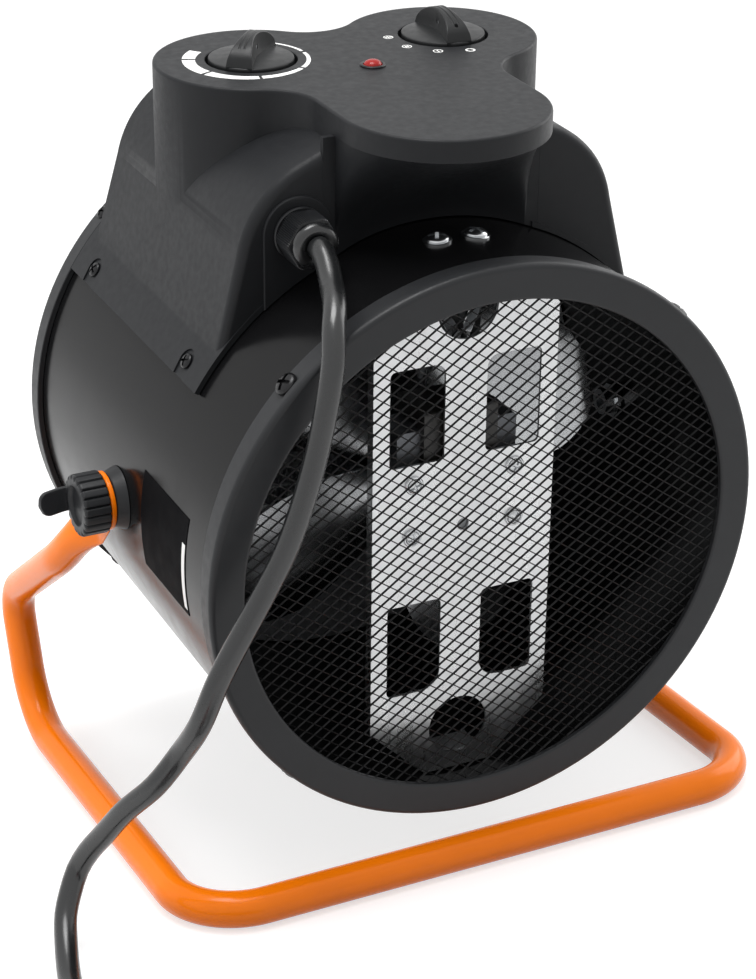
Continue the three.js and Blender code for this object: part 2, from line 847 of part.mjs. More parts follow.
/** The channel that grips one end of the elements. Side is 1 or -1. */
function elementRail(side) {
  const inner = elementHalf - railGrip;
  const web = elementHalf + clearance;
  const channel = [
    [inner, railRear], [inner, railRear - railWall], [web, railRear - railWall],
    [web, railFront + railWall], [inner, railFront + railWall], [inner, railFront],
    [web + railWall, railFront], [web + railWall, railRear],
  ];
  const placed = channel.map(([x, y]) => [side * x, y]);
  return plate(outline(placed), -railHeight, railHeight, 'z');
}

/** The resetting heat cut-out on the rear face of the baffle, above the elements. */
function thermalCutout() {
  const height = (elementPitch * elementCount) / 2 + 2 * cutoutFlange;
  const face = baffleY + clearance;
  const flange = block(
    [-cutoutFlange, face, height - cutoutRadius / 2],
    [cutoutFlange, face + railWall, height + cutoutRadius / 2],
  );
  return flange.add(bar(cutoutRadius, face, face + cutoutHeight, 'y', [0, 0, height]));
}

// Control housing

/** The half section of the saddle that sits across the drum, as points from foot to top. */
function saddleOutline(inset) {
  const points = saddleShares.map(([x, z]) => {
    return [Math.max(0, x * saddleTop - inset * Math.min(1, 4 * x)), z * saddleTop];
  });
  const lowered = points.map(([x, z], i) => [x, i < 2 ? z : z - (inset * i) / (points.length - 1)]);
  const [foot, shoulder, bulge, brow, ...rest] = lowered;
  const shape = new THREE.Shape();
  shape.moveTo(-foot[0], foot[1]);
  shape.lineTo(foot[0], foot[1]);
  shape.lineTo(...shoulder);
  shape.quadraticCurveTo(bulge[0], bulge[1], ...brow);
  rest.forEach((point) => shape.lineTo(...point));
  rest.slice(0, -1).reverse().forEach(([x, z]) => shape.lineTo(-x, z));
  shape.lineTo(-brow[0], brow[1]);
  shape.quadraticCurveTo(-bulge[0], bulge[1], -shoulder[0], shoulder[1]);
  shape.closePath();
  return shape;
}

/** The saddle's body, whose front wall leans back from its foot to its top. */
function saddleBody(inset, rear) {
  const shape = saddleOutline(inset);
  const front = housingFrontFoot + inset;
  const options = { depth: rear - front, bevelEnabled: false, curveSegments: 4 };
  const geometry = new THREE.ExtrudeGeometry(shape, options).rotateX(Math.PI / 2).translate(0, rear, 0);
  const position = geometry.getAttribute('position');
  const foot = drumRadius * Math.sin(THREE.MathUtils.degToRad(flangeAngle));
  const lean = (housingFrontTop - housingFrontFoot) / (saddleTop - foot);
  for (let i = 0; i < position.count; i++) {
    const rise = position.getZ(i) - foot;
    if (position.getY(i) < (rear + front) / 2) position.setY(i, front + lean * rise);
  }
  return solid(geometry);
}

/** The three lobed outline of the control panel, drawn in by an inset. */
function towerOutline(inset) {
  const reach = towerRadius + lobeFillet;
  const filletX = lobeRadius + lobeFillet;
  const filletRise = Math.sqrt(reach ** 2 - (filletX - towerX) ** 2);
  const filletAngle = Math.atan2(filletRise, filletX - towerX);
  const hollowReach = towerRadius + frontHollow;
  const hollowDrop = Math.sqrt(hollowReach ** 2 - towerX ** 2);
  const hollowAngle = Math.atan2(hollowDrop, towerX);
  const [lobe, tower] = [lobeRadius - inset, towerRadius - inset];
  const [fillet, hollow] = [lobeFillet + inset, frontHollow + inset];
  const shape = new THREE.Shape();
  shape.absarc(0, lobeY, lobe, 0, Math.PI);
  shape.absarc(-filletX, towerY + filletRise, fillet, 0, -filletAngle, true);
  shape.absarc(-towerX, towerY, tower, Math.PI - filletAngle, 2 * Math.PI - hollowAngle);
  shape.absarc(0, towerY - hollowDrop, hollow, Math.PI - hollowAngle, hollowAngle, true);
  shape.absarc(towerX, towerY, tower, hollowAngle - Math.PI, filletAngle);
  shape.absarc(filletX, towerY + filletRise, fillet, Math.PI + filletAngle, Math.PI, true);
  shape.closePath();
  return shape;
}

/** The part of the panel tower between two heights, with a small edge round its top. */
function towerBody(inset, low, high, edge, curveSegments) {
  const options = {
    depth: high - low - 2 * edge, bevelEnabled: edge > 0, bevelThickness: edge, bevelSize: edge,
    bevelOffset: -edge, bevelSegments: 1, curveSegments,
  };
  const geometry = new THREE.ExtrudeGeometry(towerOutline(inset), options);
  return solid(geometry.translate(0, 0, low + edge));
}

/** The curved flange that lies on the drum and takes the housing screws. */
function housingFlange() {
  const [from, to] = [flangeAngle, 180 - flangeAngle].map(THREE.MathUtils.degToRad);
  const shape = new THREE.Shape();
  shape.absarc(0, 0, drumSkin + flangeThickness, from, to);
  shape.absarc(0, 0, drumSkin - overrun, to, from, true);
  shape.closePath();
  return plate(shape, flangeFront, housingRear + lidEdge, 'y', 7);
}

/** The opening in the rear wall for the rear cover, which meets the roof and the rear lobe. */
function coverSlot() {
  const half = chinHalfWidth + clearance;
  const low = [-half, chinY - chinWall - clearance, drumRadius - chinHalfWidth / 2];
  const high = [half, housingRear + lidEdge + overrun, saddleTop - 2 * roofThickness];
  return block(low, high).add(coverSheet(clearance));
}

/** The raised pad round the gland, arched above and straight below. */
function glandPadBody() {
  const shape = new THREE.Shape();
  shape.absarc(glandX, glandZ, glandPad, 0, Math.PI);
  shape.lineTo(glandX - glandPad, glandZ - 2 * glandPad);
  shape.lineTo(glandX + glandPad, glandZ - 2 * glandPad);
  shape.closePath();
  return plate(shape, housingRear - housingWall, housingRear + glandPadRise, 'y', padSides);
}

/** The moulded control housing: saddle, panel tower, knob recesses and drum flange. */
function controlHousing() {
  const reach = housingTop + overrun;
  const skin = bar(drumSkin, -reach, reach, 'y', [0, 0, 0], drumSides);
  const full = towerBody(0, towerFoot, housingTop, lidEdge, 5);
  const behind = block([-reach, housingRear, 0], [reach, reach, lidBottom]);
  const tower = cut(full, behind);
  const outer = joined(saddleBody(0, housingRear), tower, housingFlange(), glandPadBody());
  const hollow = joined(
    saddleBody(housingWall, housingRear - housingWall),
    towerBody(housingWall, towerFoot - overrun, plateUnder, 0, 3),
  );
  const cups = [];
  const recesses = [];
  for (const x of [selectorX, thermostatX]) {
    cups.push(bar(knobRecess + housingWall, recessUnder, plateUnder + lidEdge, 'z', [x, towerY, 0], roundSides));
    recesses.push(bar(knobRecess, recessFloor, reach, 'z', [x, towerY, 0], drumSides / 2));
    recesses.push(bar(
      spindleRadius + clearance, recessUnder - overrun, reach, 'z', [x, towerY, 0], smallSides,
    ));
  }
  const body = joined(cut(outer, hollow), ...cups);
  return cut(
    body, skin, coverSlot(), ...recesses,
    bar(lampRadius, plateUnder - overrun, reach, 'z', [lampX, lampY, 0], smallSides),
    bar(
      glandThread + clearance, housingRear - housingWall - overrun,
      housingRear + glandPadRise + overrun, 'y', [glandX, 0, glandZ],
    ),
  );
}

/** The concave sheet from the drum up to the underside of the rear lobe, made larger all round. */
function coverSheet(growth) {
  const lobe = lobeRadius - lidEdge;
  const half = chinHalfWidth + growth;
  const columns = [-half, -lobe - lidEdge];
  for (let angle = -90; angle <= 90; angle += coverStep) {
    columns.push(lobe * Math.sin(THREE.MathUtils.degToRad(angle)));
  }
  columns.push(lobe + lidEdge, half);
  const top = lidBottom - clearance;
  const grid = [];
  for (let i = 0; i <= chinRows; i++) {
    grid.push(columns.map((x) => {
      const beside = Math.abs(x) > lobe + lidEdge / 2;
      const lip = beside ? housingRear : lobeY + Math.sqrt(Math.max(0, lobe ** 2 - x ** 2));
      const foot = Math.sqrt(drumSkin ** 2 - x ** 2);
      const highest = (beside ? saddleTop - clearance : top) + growth;
      const z = foot - growth + ((highest - foot + growth) * i) / chinRows;
      const rise = Math.max(0, z - foot) / (top - foot);
      return [x, chinY + growth + (lip - chinY) * rise ** chinCurvePower, z];
    }));
  }
  return thickSheet(grid, chinWall + 2 * growth);
}

// Controls

/** A turning knob: low domed disc under an arched vane with scooped sides. */
function knob(x, rest) {
  const base = recessFloor + clearance;
  const rim = base + knobDisc;
  const disc = turned([
    [0, base], [knobRadius, base], [knobRadius, rim - lidEdge], [knobRadius - lidEdge, rim],
    [knobRadius / 2, rim + lidEdge], [0, rim + 2 * lidEdge],
  ], 'z', [0, 0, 0], knobSides);
  const arch = new THREE.Shape();
  arch.moveTo(-vaneHalfLength, base + overrun);
  arch.lineTo(vaneHalfLength, base + overrun);
  arch.lineTo(vaneHalfLength, rim);
  arch.quadraticCurveTo(vaneShoulder, rim + vaneRise, 0, rim + vaneRise);
  arch.quadraticCurveTo(-vaneShoulder, rim + vaneRise, -vaneHalfLength, rim);
  const blank = plate(arch, -vaneWidth / 2, vaneWidth / 2, 'y', 5);
  const scoopRadius = (vaneHalfLength ** 2 + vaneWaist ** 2) / (2 * vaneWaist);
  const scoops = [-1, 1].map((side) => {
    const away = side * (vaneWidth / 2 + scoopRadius - vaneWaist);
    return bar(scoopRadius, rim + lidEdge, rim + vaneRise + overrun, 'z', [0, away, 0], 2 * roundSides);
  });
  const grooves = [-1, 1].map((side) => {
    return bar(lidEdge, -vaneHalfLength, vaneHalfLength, 'x', [0, side * grooveShift, rim + vaneRise], cordSides);
  });
  const hole = bar(spindleRadius + clearance, base - overrun, base + knobHole, 'z', [0, 0, 0], smallSides);
  const body = cut(joined(disc, cut(blank, ...scoops)), hole, ...grooves);
  return body.rotate([0, 0, rest]).translate([x, towerY, 0]);
}

/** The flatted spindle under a knob. */
function spindle(x, rest) {
  const high = recessFloor + knobHole;
  const low = high - spindleLength;
  const round = bar(spindleRadius, low, high, 'z', [0, 0, 0], smallSides);
  const flat = block(
    [spindleFlat, -spindleRadius, recessFloor], [2 * spindleRadius, spindleRadius, high + overrun],
  );
  return cut(round, flat).rotate([0, 0, rest]).translate([x, towerY, 0]);
}

/** A switch body under the panel, with a blind bore for its spindle and a row of terminals. */
function switchBody(x, width, depth) {
  const half = width / 2;
  const box = filleted(-half, -half, half, half, [overrun, overrun, overrun, overrun]);
  const housing = plate(box, switchTop - depth, switchTop, 'z', 2).translate([x, towerY, 0]);
  const tags = [-1, 0, 1].map((place) => block(
    [x + (place * width) / 3 - overrun, towerY - half - 2 * overrun, switchTop - depth + overrun],
    [x + (place * width) / 3 + overrun, towerY - half + overrun, switchTop - depth + overrun + lidEdge],
  ));
  const low = recessFloor + knobHole - spindleLength - clearance;
  const bore = bar(spindleRadius + clearance, low, switchTop + overrun, 'z', [x, towerY, 0], smallSides);
  return cut(joined(housing, ...tags), bore);
}

/** The domed lens of the signal lamp, in its ring. */
function lampLens() {
  const flange = housingTop + clearance;
  return turned([
    [0, plateUnder], [lampRadius - clearance, plateUnder], [lampRadius - clearance, flange],
    [lampRadius + lampRim, flange], [lampRadius + lampRim, flange + lidEdge],
    [lampRadius - clearance, flange + 2 * lidEdge], [lampRadius / 2, flange + 3 * lidEdge],
    [0, flange + lampDome],
  ], 'z', [lampX, lampY, 0], smallSides);
}

// Gland and wiring

/** The gland body through the housing wall, with its collar. */
function glandBody() {
  const collar = housingRear + glandPadRise + clearance;
  const low = housingRear - housingWall - glandLocknutLength - 2 * overrun;
  return turned([
    [cableRadius + clearance, low], [glandThread, low], [glandThread, collar],
    [glandCollar, collar], [glandCollar, collar + overrun],
    [glandThread - overrun, collar + overrun], [glandThread - overrun, collar + glandNutLength / 2],
    [cableRadius + clearance, collar + glandNutLength / 2],
  ], 'y', [glandX, 0, glandZ]);
}

/** The ribbed dome nut of the gland. */
function glandNut() {
  const low = housingRear + glandPadRise + overrun + 2 * clearance;
  const high = low + glandNutLength;
  const shape = new THREE.Shape();
  const corners = [];
  for (let i = 0; i < 2 * glandNutRibs; i++) {
    const angle = (Math.PI * i) / glandNutRibs;
    const sector = Math.PI / 3;
    const within = (angle % sector) - sector / 2;
    const flat = (glandNutSize * Math.cos(sector / 2)) / Math.cos(within);
    const radius = Math.min(flat, glandNutRound) - (i % 2) * glandNutRib;
    corners.push(new THREE.Vector2(glandX + radius * Math.cos(angle), glandZ + radius * Math.sin(angle)));
  }
  shape.setFromPoints(corners);
  const neck = bar(glandThread - overrun + clearance, low - overrun, high - overrun, 'y', [glandX, 0, glandZ]);
  const mouth = bar(cableRadius + clearance, low, high + overrun, 'y', [glandX, 0, glandZ]);
  return cut(plate(shape, low, high, 'y'), neck, mouth);
}

/** The domed clamping ring where the cable leaves the gland. */
function glandSeal() {
  const low = housingRear + glandPadRise + overrun + 3 * clearance + glandNutLength;
  const high = low + glandSealLength - clearance;
  return turned([
    [glandSealBore, low], [glandSealRadius, low], [glandSealRadius, low + glandSealLength / 3],
    [glandSealShoulder, high - lidEdge], [glandSealMouth, high], [glandSealBore, high],
  ], 'y', [glandX, 0, glandZ]);
}

/** The rubber grommet in the drum's wiring hole. */
function wireGrommet() {
  const lip = grommetGroove + grommetLip;
  const low = drumInner - clearance - lip ** 2 / (2 * drumInner) - drumFacet;
  const high = drumRadius + clearance;
  return turned([
    [grommetBore, low - grommetLip], [lip, low - grommetLip], [lip, low], [grommetGroove, low],
    [grommetGroove, high], [lip, high], [lip - overrun / 2, high + grommetLip], [grommetBore, high + grommetLip],
  ], 'z', [0, towerY, 0]);
}

/** The screw terminals on top of the drum, in a moulded strip with a well for each screw. */
function terminalBlock() {
  const low = drumRadius + clearance;
  const high = low + terminalHeight;
  const half = terminalWidth / 2;
  const strip = block([-half, lampY, low], [half, lampY + terminalDepth, high]);
  const pitch = terminalWidth / terminalPoles;
  const wells = [];
  for (let i = 0; i < terminalPoles; i++) {
    const at = [-half + pitch * (i + 0.5), lampY + terminalDepth / 2, 0];
    wells.push(bar(pitch / 3, high - terminalHeight / 3, high + overrun, 'z', at, cordSides));
  }
  return cut(strip, ...wells);
}

/** The thermostat's capillary tube and its bulb, through the grommet into the intake air. */
function thermostatCapillary() {
  const start = switchTop - thermostatBodyDepth - clearance;
  const sag = drumInner - 2 * grommetGroove;
  const side = grommetBore / 2 + clearance;
  const stations = filletedPath([
    [thermostatX, towerY, start], [thermostatX, towerY, start - 2 * grommetBore],
    [side, towerY, start - 2 * grommetBore], [side, towerY, sag], [side, 0, sag],
  ], [grommetBore, grommetBore, 2 * grommetBore]);
  const tube = solid(sweptGeometry(stations, capillaryRadius, coilSides));
  const bulb = turned([
    [0, -bulbRadius], [bulbRadius, 0], [bulbRadius, bulbLength], [0, bulbLength + bulbRadius],
  ], 'y', [side, 0, sag], smallSides);
  return tube.add(bulb);
}

/** The motor's two core lead, from the winding along the drum and up through the grommet. */
function motorLead() {
  const side = -grommetBore / 2 + clearance;
  const away = -2 * fanHubRadius;
  const roof = drumInner - 3 * leadRadius - grommetLip;
  const bend = 4 * leadRadius;
  const windingTop = statorTop + coilWall + clearance;
  const winding = (statorRear + statorFront) / 2;
  const stations = filletedPath([
    [away / 2, winding, windingTop], [away / 2, winding, roof - 2 * bend], [away, winding - bend, roof - bend],
    [away, towerY + 2 * bend, roof - bend], [side, towerY, roof - bend], [side, towerY, drumRadius + bend],
    [side, lampY - leadRadius - clearance - bend, drumRadius + bend],
    [side, lampY - clearance, drumRadius + bend],
  ], [bend, bend, bend, bend, bend, bend / 2]);
  return solid(sweptGeometry(stations, leadRadius, coilSides));
}

// Pivots, clamps and stand

/** The moulded washer between the drum and the eye. Side is 1 or -1. */
function pivotBoss(side) {
  const low = drumRadius - bossRadius ** 2 / drumRadius;
  const cone = turned([
    [insertRadius + clearance, low], [bossRadius, low], [bossRadius, drumRadius],
    [bossOuterRadius, bossFace], [insertRadius + clearance, bossFace],
  ], 'x', [0, 0, 0], knobSides);
  const skin = bar(drumRadius + clearance, -2 * bossRadius, 2 * bossRadius, 'y', [0, 0, 0], drumSides);
  const boss = cut(cone, skin);
  return side > 0 ? boss : boss.mirror([1, 0, 0]);
}

/** The threaded insert that holds the clamp stud, with its flange inside the drum. */
function pivotInsert(side) {
  const flangeFace = drumInner - drumFacet - clearance - (insertRadius + overrun) ** 2 / drumInner;
  const insert = turned([
    [studRadius + clearance, drumInner - insertDepth], [insertRadius, drumInner - insertDepth],
    [insertRadius, flangeFace - insertFlange], [insertRadius + overrun, flangeFace - insertFlange],
    [insertRadius + overrun, flangeFace], [insertRadius, flangeFace],
    [insertRadius, bossFace - clearance], [studRadius + clearance, bossFace - clearance],
  ], 'x', [0, 0, 0], smallSides);
  return side > 0 ? insert : insert.mirror([1, 0, 0]);
}

/** The fluted clamp knob with its paddle wing. */
function clampKnob(side) {
  const points = [];
  for (let i = 0; i < 3 * clampFlutes; i++) {
    const angle = (2 * Math.PI * i) / (3 * clampFlutes);
    const radius = clampRadius - (i % 3 === 0 ? clampFluteDepth : 0);
    points.push([radius * Math.cos(angle), radius * Math.sin(angle)]);
  }
  const disc = plate(outline(points), clampInner, clampOuter, 'x');
  const half = wingWidth / 2;
  const wing = filleted(clampInner + clampLength / 2, -half, clampOuter + wingReach, half, [
    lidEdge, wingThickness, wingThickness, lidEdge,
  ]);
  const paddle = plate(wing, -wingThickness / 2, wingThickness / 2, 'z', 3).rotate([-wingLean, 0, 0]);
  const end = clampInner + studLength / 2;
  const hole = bar(studRadius + clearance, clampInner - overrun, end, 'x');
  const body = cut(disc.add(paddle), hole);
  return side > 0 ? body : body.mirror([1, 0, 0]);
}

/** The threaded stud fixed in the clamp knob. */
function clampStud(side) {
  const end = clampInner + studLength / 2 - clearance;
  const stud = bar(studRadius, end - studLength, end, 'x');
  return side > 0 ? stud : stud.mirror([1, 0, 0]);
}

/** The corner points of one half of the stand, from its eye to the middle of the rear foot. */
function standCorners() {
  const start = eyeRadius / 2 / Math.hypot(eyeNeckBack, eyeNeckDrop);
  return [
    [eyeMiddle, -eyeNeckBack * start, -eyeNeckDrop * start],
    [eyeMiddle, -eyeNeckBack, -eyeNeckDrop],
    [standHalfWidth, -shoulderBack, -shoulderDrop],
    [standHalfWidth, -kneeBack, -kneeDrop],
    [standHalfWidth, -footFront, -footDrop],
    [standHalfWidth, footRear, -footDrop],
  ];
}

/** Presses both tube ends flat next to their eyes, as the real tube is pressed. */
function pressEnds(geometry) {
  const position = geometry.getAttribute('position');
  const along = new THREE.Vector2(-eyeNeckBack, -eyeNeckDrop).normalize();
  for (let i = 0; i < position.count; i++) {
    const [x, y, z] = [position.getX(i), position.getY(i), position.getZ(i)];
    const distance = y * along.x + z * along.y;
    const across = y * along.y - z * along.x;
    const near = Math.hypot(y, z) < flatEnd + standTube;
    if (!near) continue;
    const round = THREE.MathUtils.smoothstep(distance, flatStart, flatEnd);
    const thin = THREE.MathUtils.lerp((eyeThickness - clearance) / 2 / standTube, 1, round);
    const wide = THREE.MathUtils.lerp((eyeRadius - lidEdge) / standTube, 1, round);
    const middle = Math.sign(x) * eyeMiddle;
    const centre = THREE.MathUtils.lerp(middle, Math.sign(x) * pathX(distance), round);
    position.setX(i, centre + (x - Math.sign(x) * pathX(distance)) * thin);
    position.setY(i, along.x * distance + along.y * across * wide);
    position.setZ(i, along.y * distance - along.x * across * wide);
  }
  return geometry;
}

/** How far out the tube's centre line lies at a distance from the eye. */
function pathX(distance) {
  const neck = Math.hypot(eyeNeckBack, eyeNeckDrop);
  const shoulder = Math.hypot(shoulderBack, shoulderDrop);
  const share = THREE.MathUtils.clamp((distance - neck) / (shoulder - neck), 0, 1);
  return THREE.MathUtils.lerp(eyeMiddle, standHalfWidth, share);
}

/** The bent stand tube with a pressed eye at each end. */
function standBody() {
  const half = standCorners();
  const corners = [...half, ...half.map(([x, y, z]) => [-x, y, z]).reverse()];
  const bends = [neckBend, shoulderBend, kneeBend, footFrontBend, footRearBend];
  const stations = filletedPath(corners, [...bends, ...bends.slice().reverse()]);
  const [, neck, shoulder] = half.map((corner) => new THREE.Vector3(...corner));
  for (const side of [1, -1]) {
    for (const share of pressShares) {
      const between = neck.clone().lerp(shoulder, share);
      between.x *= side;
      const ahead = (point) => point.x * side > 0 && point.y < between.y;
      const at = side > 0 ? stations.findIndex(ahead) : stations.findLastIndex(ahead) + 1;
      stations.splice(at, 0, between);
    }
  }
  let body = solid(pressEnds(sweptGeometry(stations, standTube, tubeSides)));
  for (const side of [1, -1]) {
    const faces = [side * eyeInner, side * (eyeInner + eyeThickness)].sort((a, b) => a - b);
    body = body.add(bar(eyeRadius, ...faces, 'x'));
    body = body.subtract(bar(studRadius + clearance, faces[0] - overrun, faces[1] + overrun, 'x'));
  }
  return body;
}

// Supply cable and plug

/** Points of the whole coil and the direction that it ends in, on the surface behind the stand. */
function coilStations() {
  const total = Math.round(coilTurns * coilSteps);
  const ground = cableRadius + clearance;
  const lead = 2 * cableRadius;
  const stations = [new THREE.Vector3(coilX + coilRadius, coilY - lead, ground)];
  for (let i = 0; i <= total; i++) {
    const turn = i / coilSteps;
    const inward = coilTurns / 2 - Math.abs(turn - coilTurns / 2);
    const climb = THREE.MathUtils.clamp((turn - coilTurns / 2) / coilClimb + 0.5, 0, 1);
    const radius = coilRadius - coilPitch * inward;
    const angle = 2 * Math.PI * turn;
    const z = ground + coilLift * climb;
    stations.push(new THREE.Vector3(coilX + radius * Math.cos(angle), coilY + radius * Math.sin(angle), z));
  }
  const end = stations.at(-1).clone();
  end.x += lead;
  stations.push(end);
  return stations;
}

/** The least distance between two stretches of a path that are not neighbours, less its thickness. */
function leastSelfGap(stations, radius, apart) {
  let least = Infinity;
  const segments = stations.slice(1).map((end, i) => new THREE.Line3(stations[i], end));
  const nearest = new THREE.Vector3();
  for (let i = 0; i < segments.length; i++) {
    for (let j = i + apart; j < segments.length; j++) {
      for (const share of [0, 0.25, 0.5, 0.75, 1]) {
        const point = segments[i].at(share, new THREE.Vector3());
        segments[j].closestPointToPoint(point, true, nearest);
        least = Math.min(least, point.distanceTo(nearest));
      }
    }
  }
  return least - 2 * radius;
}

/** Stations evenly spaced along a smooth curve through hand placed points. */
function smoothStations(points, steps) {
  const curve = new THREE.CatmullRomCurve3(points, false, 'centripetal');
  return curve.getSpacedPoints(steps);
}

/** The stretch from the gland over the bezel and down to the surface. */
function cableRun(coilStart) {
  const [start, ...points] = cablePoints.map((point) => new THREE.Vector3(...point));
  const end = coilStart.clone();
  end.y -= clearance;
  const before = end.clone();
  before.y -= 2 * cableRadius;
  const stations = [start, ...smoothStations([...points, before, end], cableRunSteps)];
  return solid(sweptGeometry(stations, cableRadius, cordSides));
}

/** The lean of the plug, whose nut and collar both touch the surface. */
function plugLean() {
  return Math.atan((plugCollar - plugNut) / (plugNutLength + plugGripLength + overrun));
}

/** The middle of the back of the plug's nut, beside the coil. */
function plugPlace(coilEnd) {
  const lean = plugLean();
  return new THREE.Vector3(
    coilX + coilRadius + cableRadius + plugCollar + overrun,
    coilEnd.y + tailBend + (2 * cableRadius + clearance) * Math.cos(lean),
    plugNut * Math.cos(lean) + clearance,
  );
}

/** The stretch from the coil round to the plug, square to both. */
function cableTail(coilEnd) {
  const place = plugPlace(coilEnd);
  const axis = new THREE.Vector3(0, Math.cos(plugLean()), Math.sin(plugLean()));
  const end = place.clone().addScaledVector(axis, -clearance);
  const square = end.clone().addScaledVector(axis, -2 * cableRadius);
  const start = coilEnd.clone();
  start.x += clearance;
  const stations = [start];
  const centre = new THREE.Vector3(place.x - tailBend, start.y + tailBend, 0);
  for (let i = 0; i <= tailSteps; i++) {
    const share = i / tailSteps;
    const angle = (Math.PI / 2) * (share - 1);
    const z = start.z + (square.z - start.z) * share * share;
    stations.push(new THREE.Vector3(
      centre.x + tailBend * Math.cos(angle), centre.y + tailBend * Math.sin(angle), z,
    ));
  }
  stations.push(end);
  return solid(sweptGeometry(stations, cableRadius, cordSides));
}

/** The plug's outer body, with its grip and its collar round the pins. */
function plugBody() {
  const grip = plugNutLength + clearance;
  const collar = grip + plugGripLength;
  const end = collar + plugCollarLength - clearance;
  const floor = collar + plugWall;
  return turned([
    [cableRadius + clearance, grip], [plugGrip - overrun, grip], [plugGrip, grip + overrun],
    [plugGrip, collar - 2 * overrun], [plugCollar - overrun, collar], [plugCollar, collar + overrun],
    [plugCollar, end], [plugCollar - plugWall, end], [plugCollar - plugWall, floor],
    [cableRadius + clearance, floor],
  ], 'y', [0, 0, 0], plugSides);
}

/** The insert that carries the pins, one of them thicker and set at the key. */
function plugInsert() {
  const base = plugNutLength + plugGripLength + plugWall + 2 * clearance;
  const face = base + plugInsertDepth;
  const pins = Array.from({ length: plugPins }, (_, i) => {
    const angle = (2 * Math.PI * i) / plugPins - Math.PI / 2;
    const at = [plugPinCircle * Math.cos(angle), 0, plugPinCircle * Math.sin(angle)];
    const radius = i === 0 ? plugPinRadius + lidEdge : plugPinRadius;
    return bar(radius, face - overrun, face + plugPinLength, 'y', at, cordSides);
  });
  return joined(bar(plugCollar - plugWall - clearance, base, face, 'y', [0, 0, 0], plugSides), ...pins);
}

/** The nut that grips the cable at the back of the plug. */
function plugNutBody() {
  const points = [];
  for (let i = 0; i < 3 * plugNutRibs; i++) {
    const angle = (2 * Math.PI * i) / (3 * plugNutRibs);
    const radius = plugNut - (i % 3 === 0 ? lidEdge : 0);
    points.push([radius * Math.cos(angle), radius * Math.sin(angle)]);
  }
  const body = plate(outline(points), 0, plugNutLength, 'y');
  return cut(body, bar(cableRadius - clearance, -overrun, plugNutLength + overrun));
}

// Assembly

/** The drum, what it holds and what is fixed to it, about the pivot. */
function heaterGroup() {
  const group = new THREE.Group();
  addPiece(group, 'drum_shell', 'drum', drumShell());
  addPiece(group, 'rear_bezel', 'bezel', bezel(1, bezelRimLength, bezelSkirtLength));
  addPiece(group, 'front_bezel', 'bezel', bezel(-1, frontRimLength, 0));
  addPiece(group, 'rear_guard', 'net', guard(1));
  addPiece(group, 'front_guard', 'net', guard(-1));
  addPiece(group, 'motor_bracket', 'zinc', motorBracket());
  addPiece(group, 'motor_rear_plate', 'steel', motorRearPlate());
  addPiece(group, 'motor_front_plate', 'steel', motorFrontPlate());
  addPiece(group, 'motor_stator', 'laminate', motorStator());
  addPiece(group, 'motor_coil', 'copper', motorCoil());
  addPiece(group, 'motor_rotor', 'steel', motorRotor());
  addPiece(group, 'motor_lead', 'rubber', motorLead());
  addPiece(group, 'fan', 'aluminium', fan());
  const nutHigh = fanMiddle - fanHubLength / 2 - clearance;
  addPiece(group, 'fan_nut', 'steel', hexNut(fanNutSize, shaftRadius + clearance, nutHigh - fanNutLength, nutHigh));
  addPiece(group, 'element_frame', 'zinc', elementFrame());
  for (let i = 0; i < elementCount; i++) {
    addPiece(group, `ptc_element_${i + 1}`, 'ceramic', ceramicElement(i));
  }
  addPiece(group, 'element_rail_left', 'zinc', elementRail(1));
  addPiece(group, 'element_rail_right', 'zinc', elementRail(-1));
  addPiece(group, 'thermal_cutout', 'knob', thermalCutout());
  addPiece(group, 'thermostat_capillary', 'copper', thermostatCapillary());
  addPiece(group, 'control_housing', 'housing', controlHousing());
  addPiece(group, 'housing_rear_cover', 'housing', coverSheet(0));
  addPiece(group, 'thermostat_knob', 'knob', knob(thermostatX, thermostatRest));
  addPiece(group, 'thermostat_shaft', 'steel', spindle(thermostatX, thermostatRest));
  addPiece(group, 'thermostat_body', 'white', switchBody(thermostatX, thermostatBodyWidth, thermostatBodyDepth));
  addPiece(group, 'selector_knob', 'knob', knob(selectorX, selectorRest));
  addPiece(group, 'selector_shaft', 'steel', spindle(selectorX, selectorRest));
  addPiece(group, 'selector_body', 'white', switchBody(selectorX, selectorBodyWidth, selectorBodyDepth));
  addPiece(group, 'lamp_lens', 'lamp', lampLens());
  const lampTop = plateUnder - clearance;
  addPiece(group, 'lamp_body', 'white', bar(
    lampRadius + lampRim, lampTop - lampBodyLength, lampTop, 'z', [lampX, lampY, 0], smallSides,
  ));
  addPiece(group, 'terminal_block', 'white', terminalBlock());
  addPiece(group, 'wire_grommet', 'rubber', wireGrommet());
  addPiece(group, 'gland_body', 'knob', glandBody());
  const locknutHigh = housingRear - housingWall - clearance;
  const locknut = hexNut(glandLocknut, glandThread + clearance, locknutHigh - glandLocknutLength, locknutHigh);
  addPiece(group, 'gland_locknut', 'knob', locknut.translate([glandX, 0, glandZ]));
  addPiece(group, 'gland_nut', 'knob', glandNut());
  addPiece(group, 'gland_seal', 'rubber', glandSeal());
  for (const [suffix, side] of [['left', 1], ['right', -1]]) {
    addPiece(group, `boss_${suffix}`, 'knob', pivotBoss(side));
    addPiece(group, `boss_insert_${suffix}`, 'steel', pivotInsert(side));
    addPiece(group, `clamp_knob_${suffix}`, 'knob', clampKnob(side));
    addPiece(group, `clamp_stud_${suffix}`, 'steel', clampStud(side));
  }
  group.rotation.x = -THREE.MathUtils.degToRad(restTilt);
  return group;
}

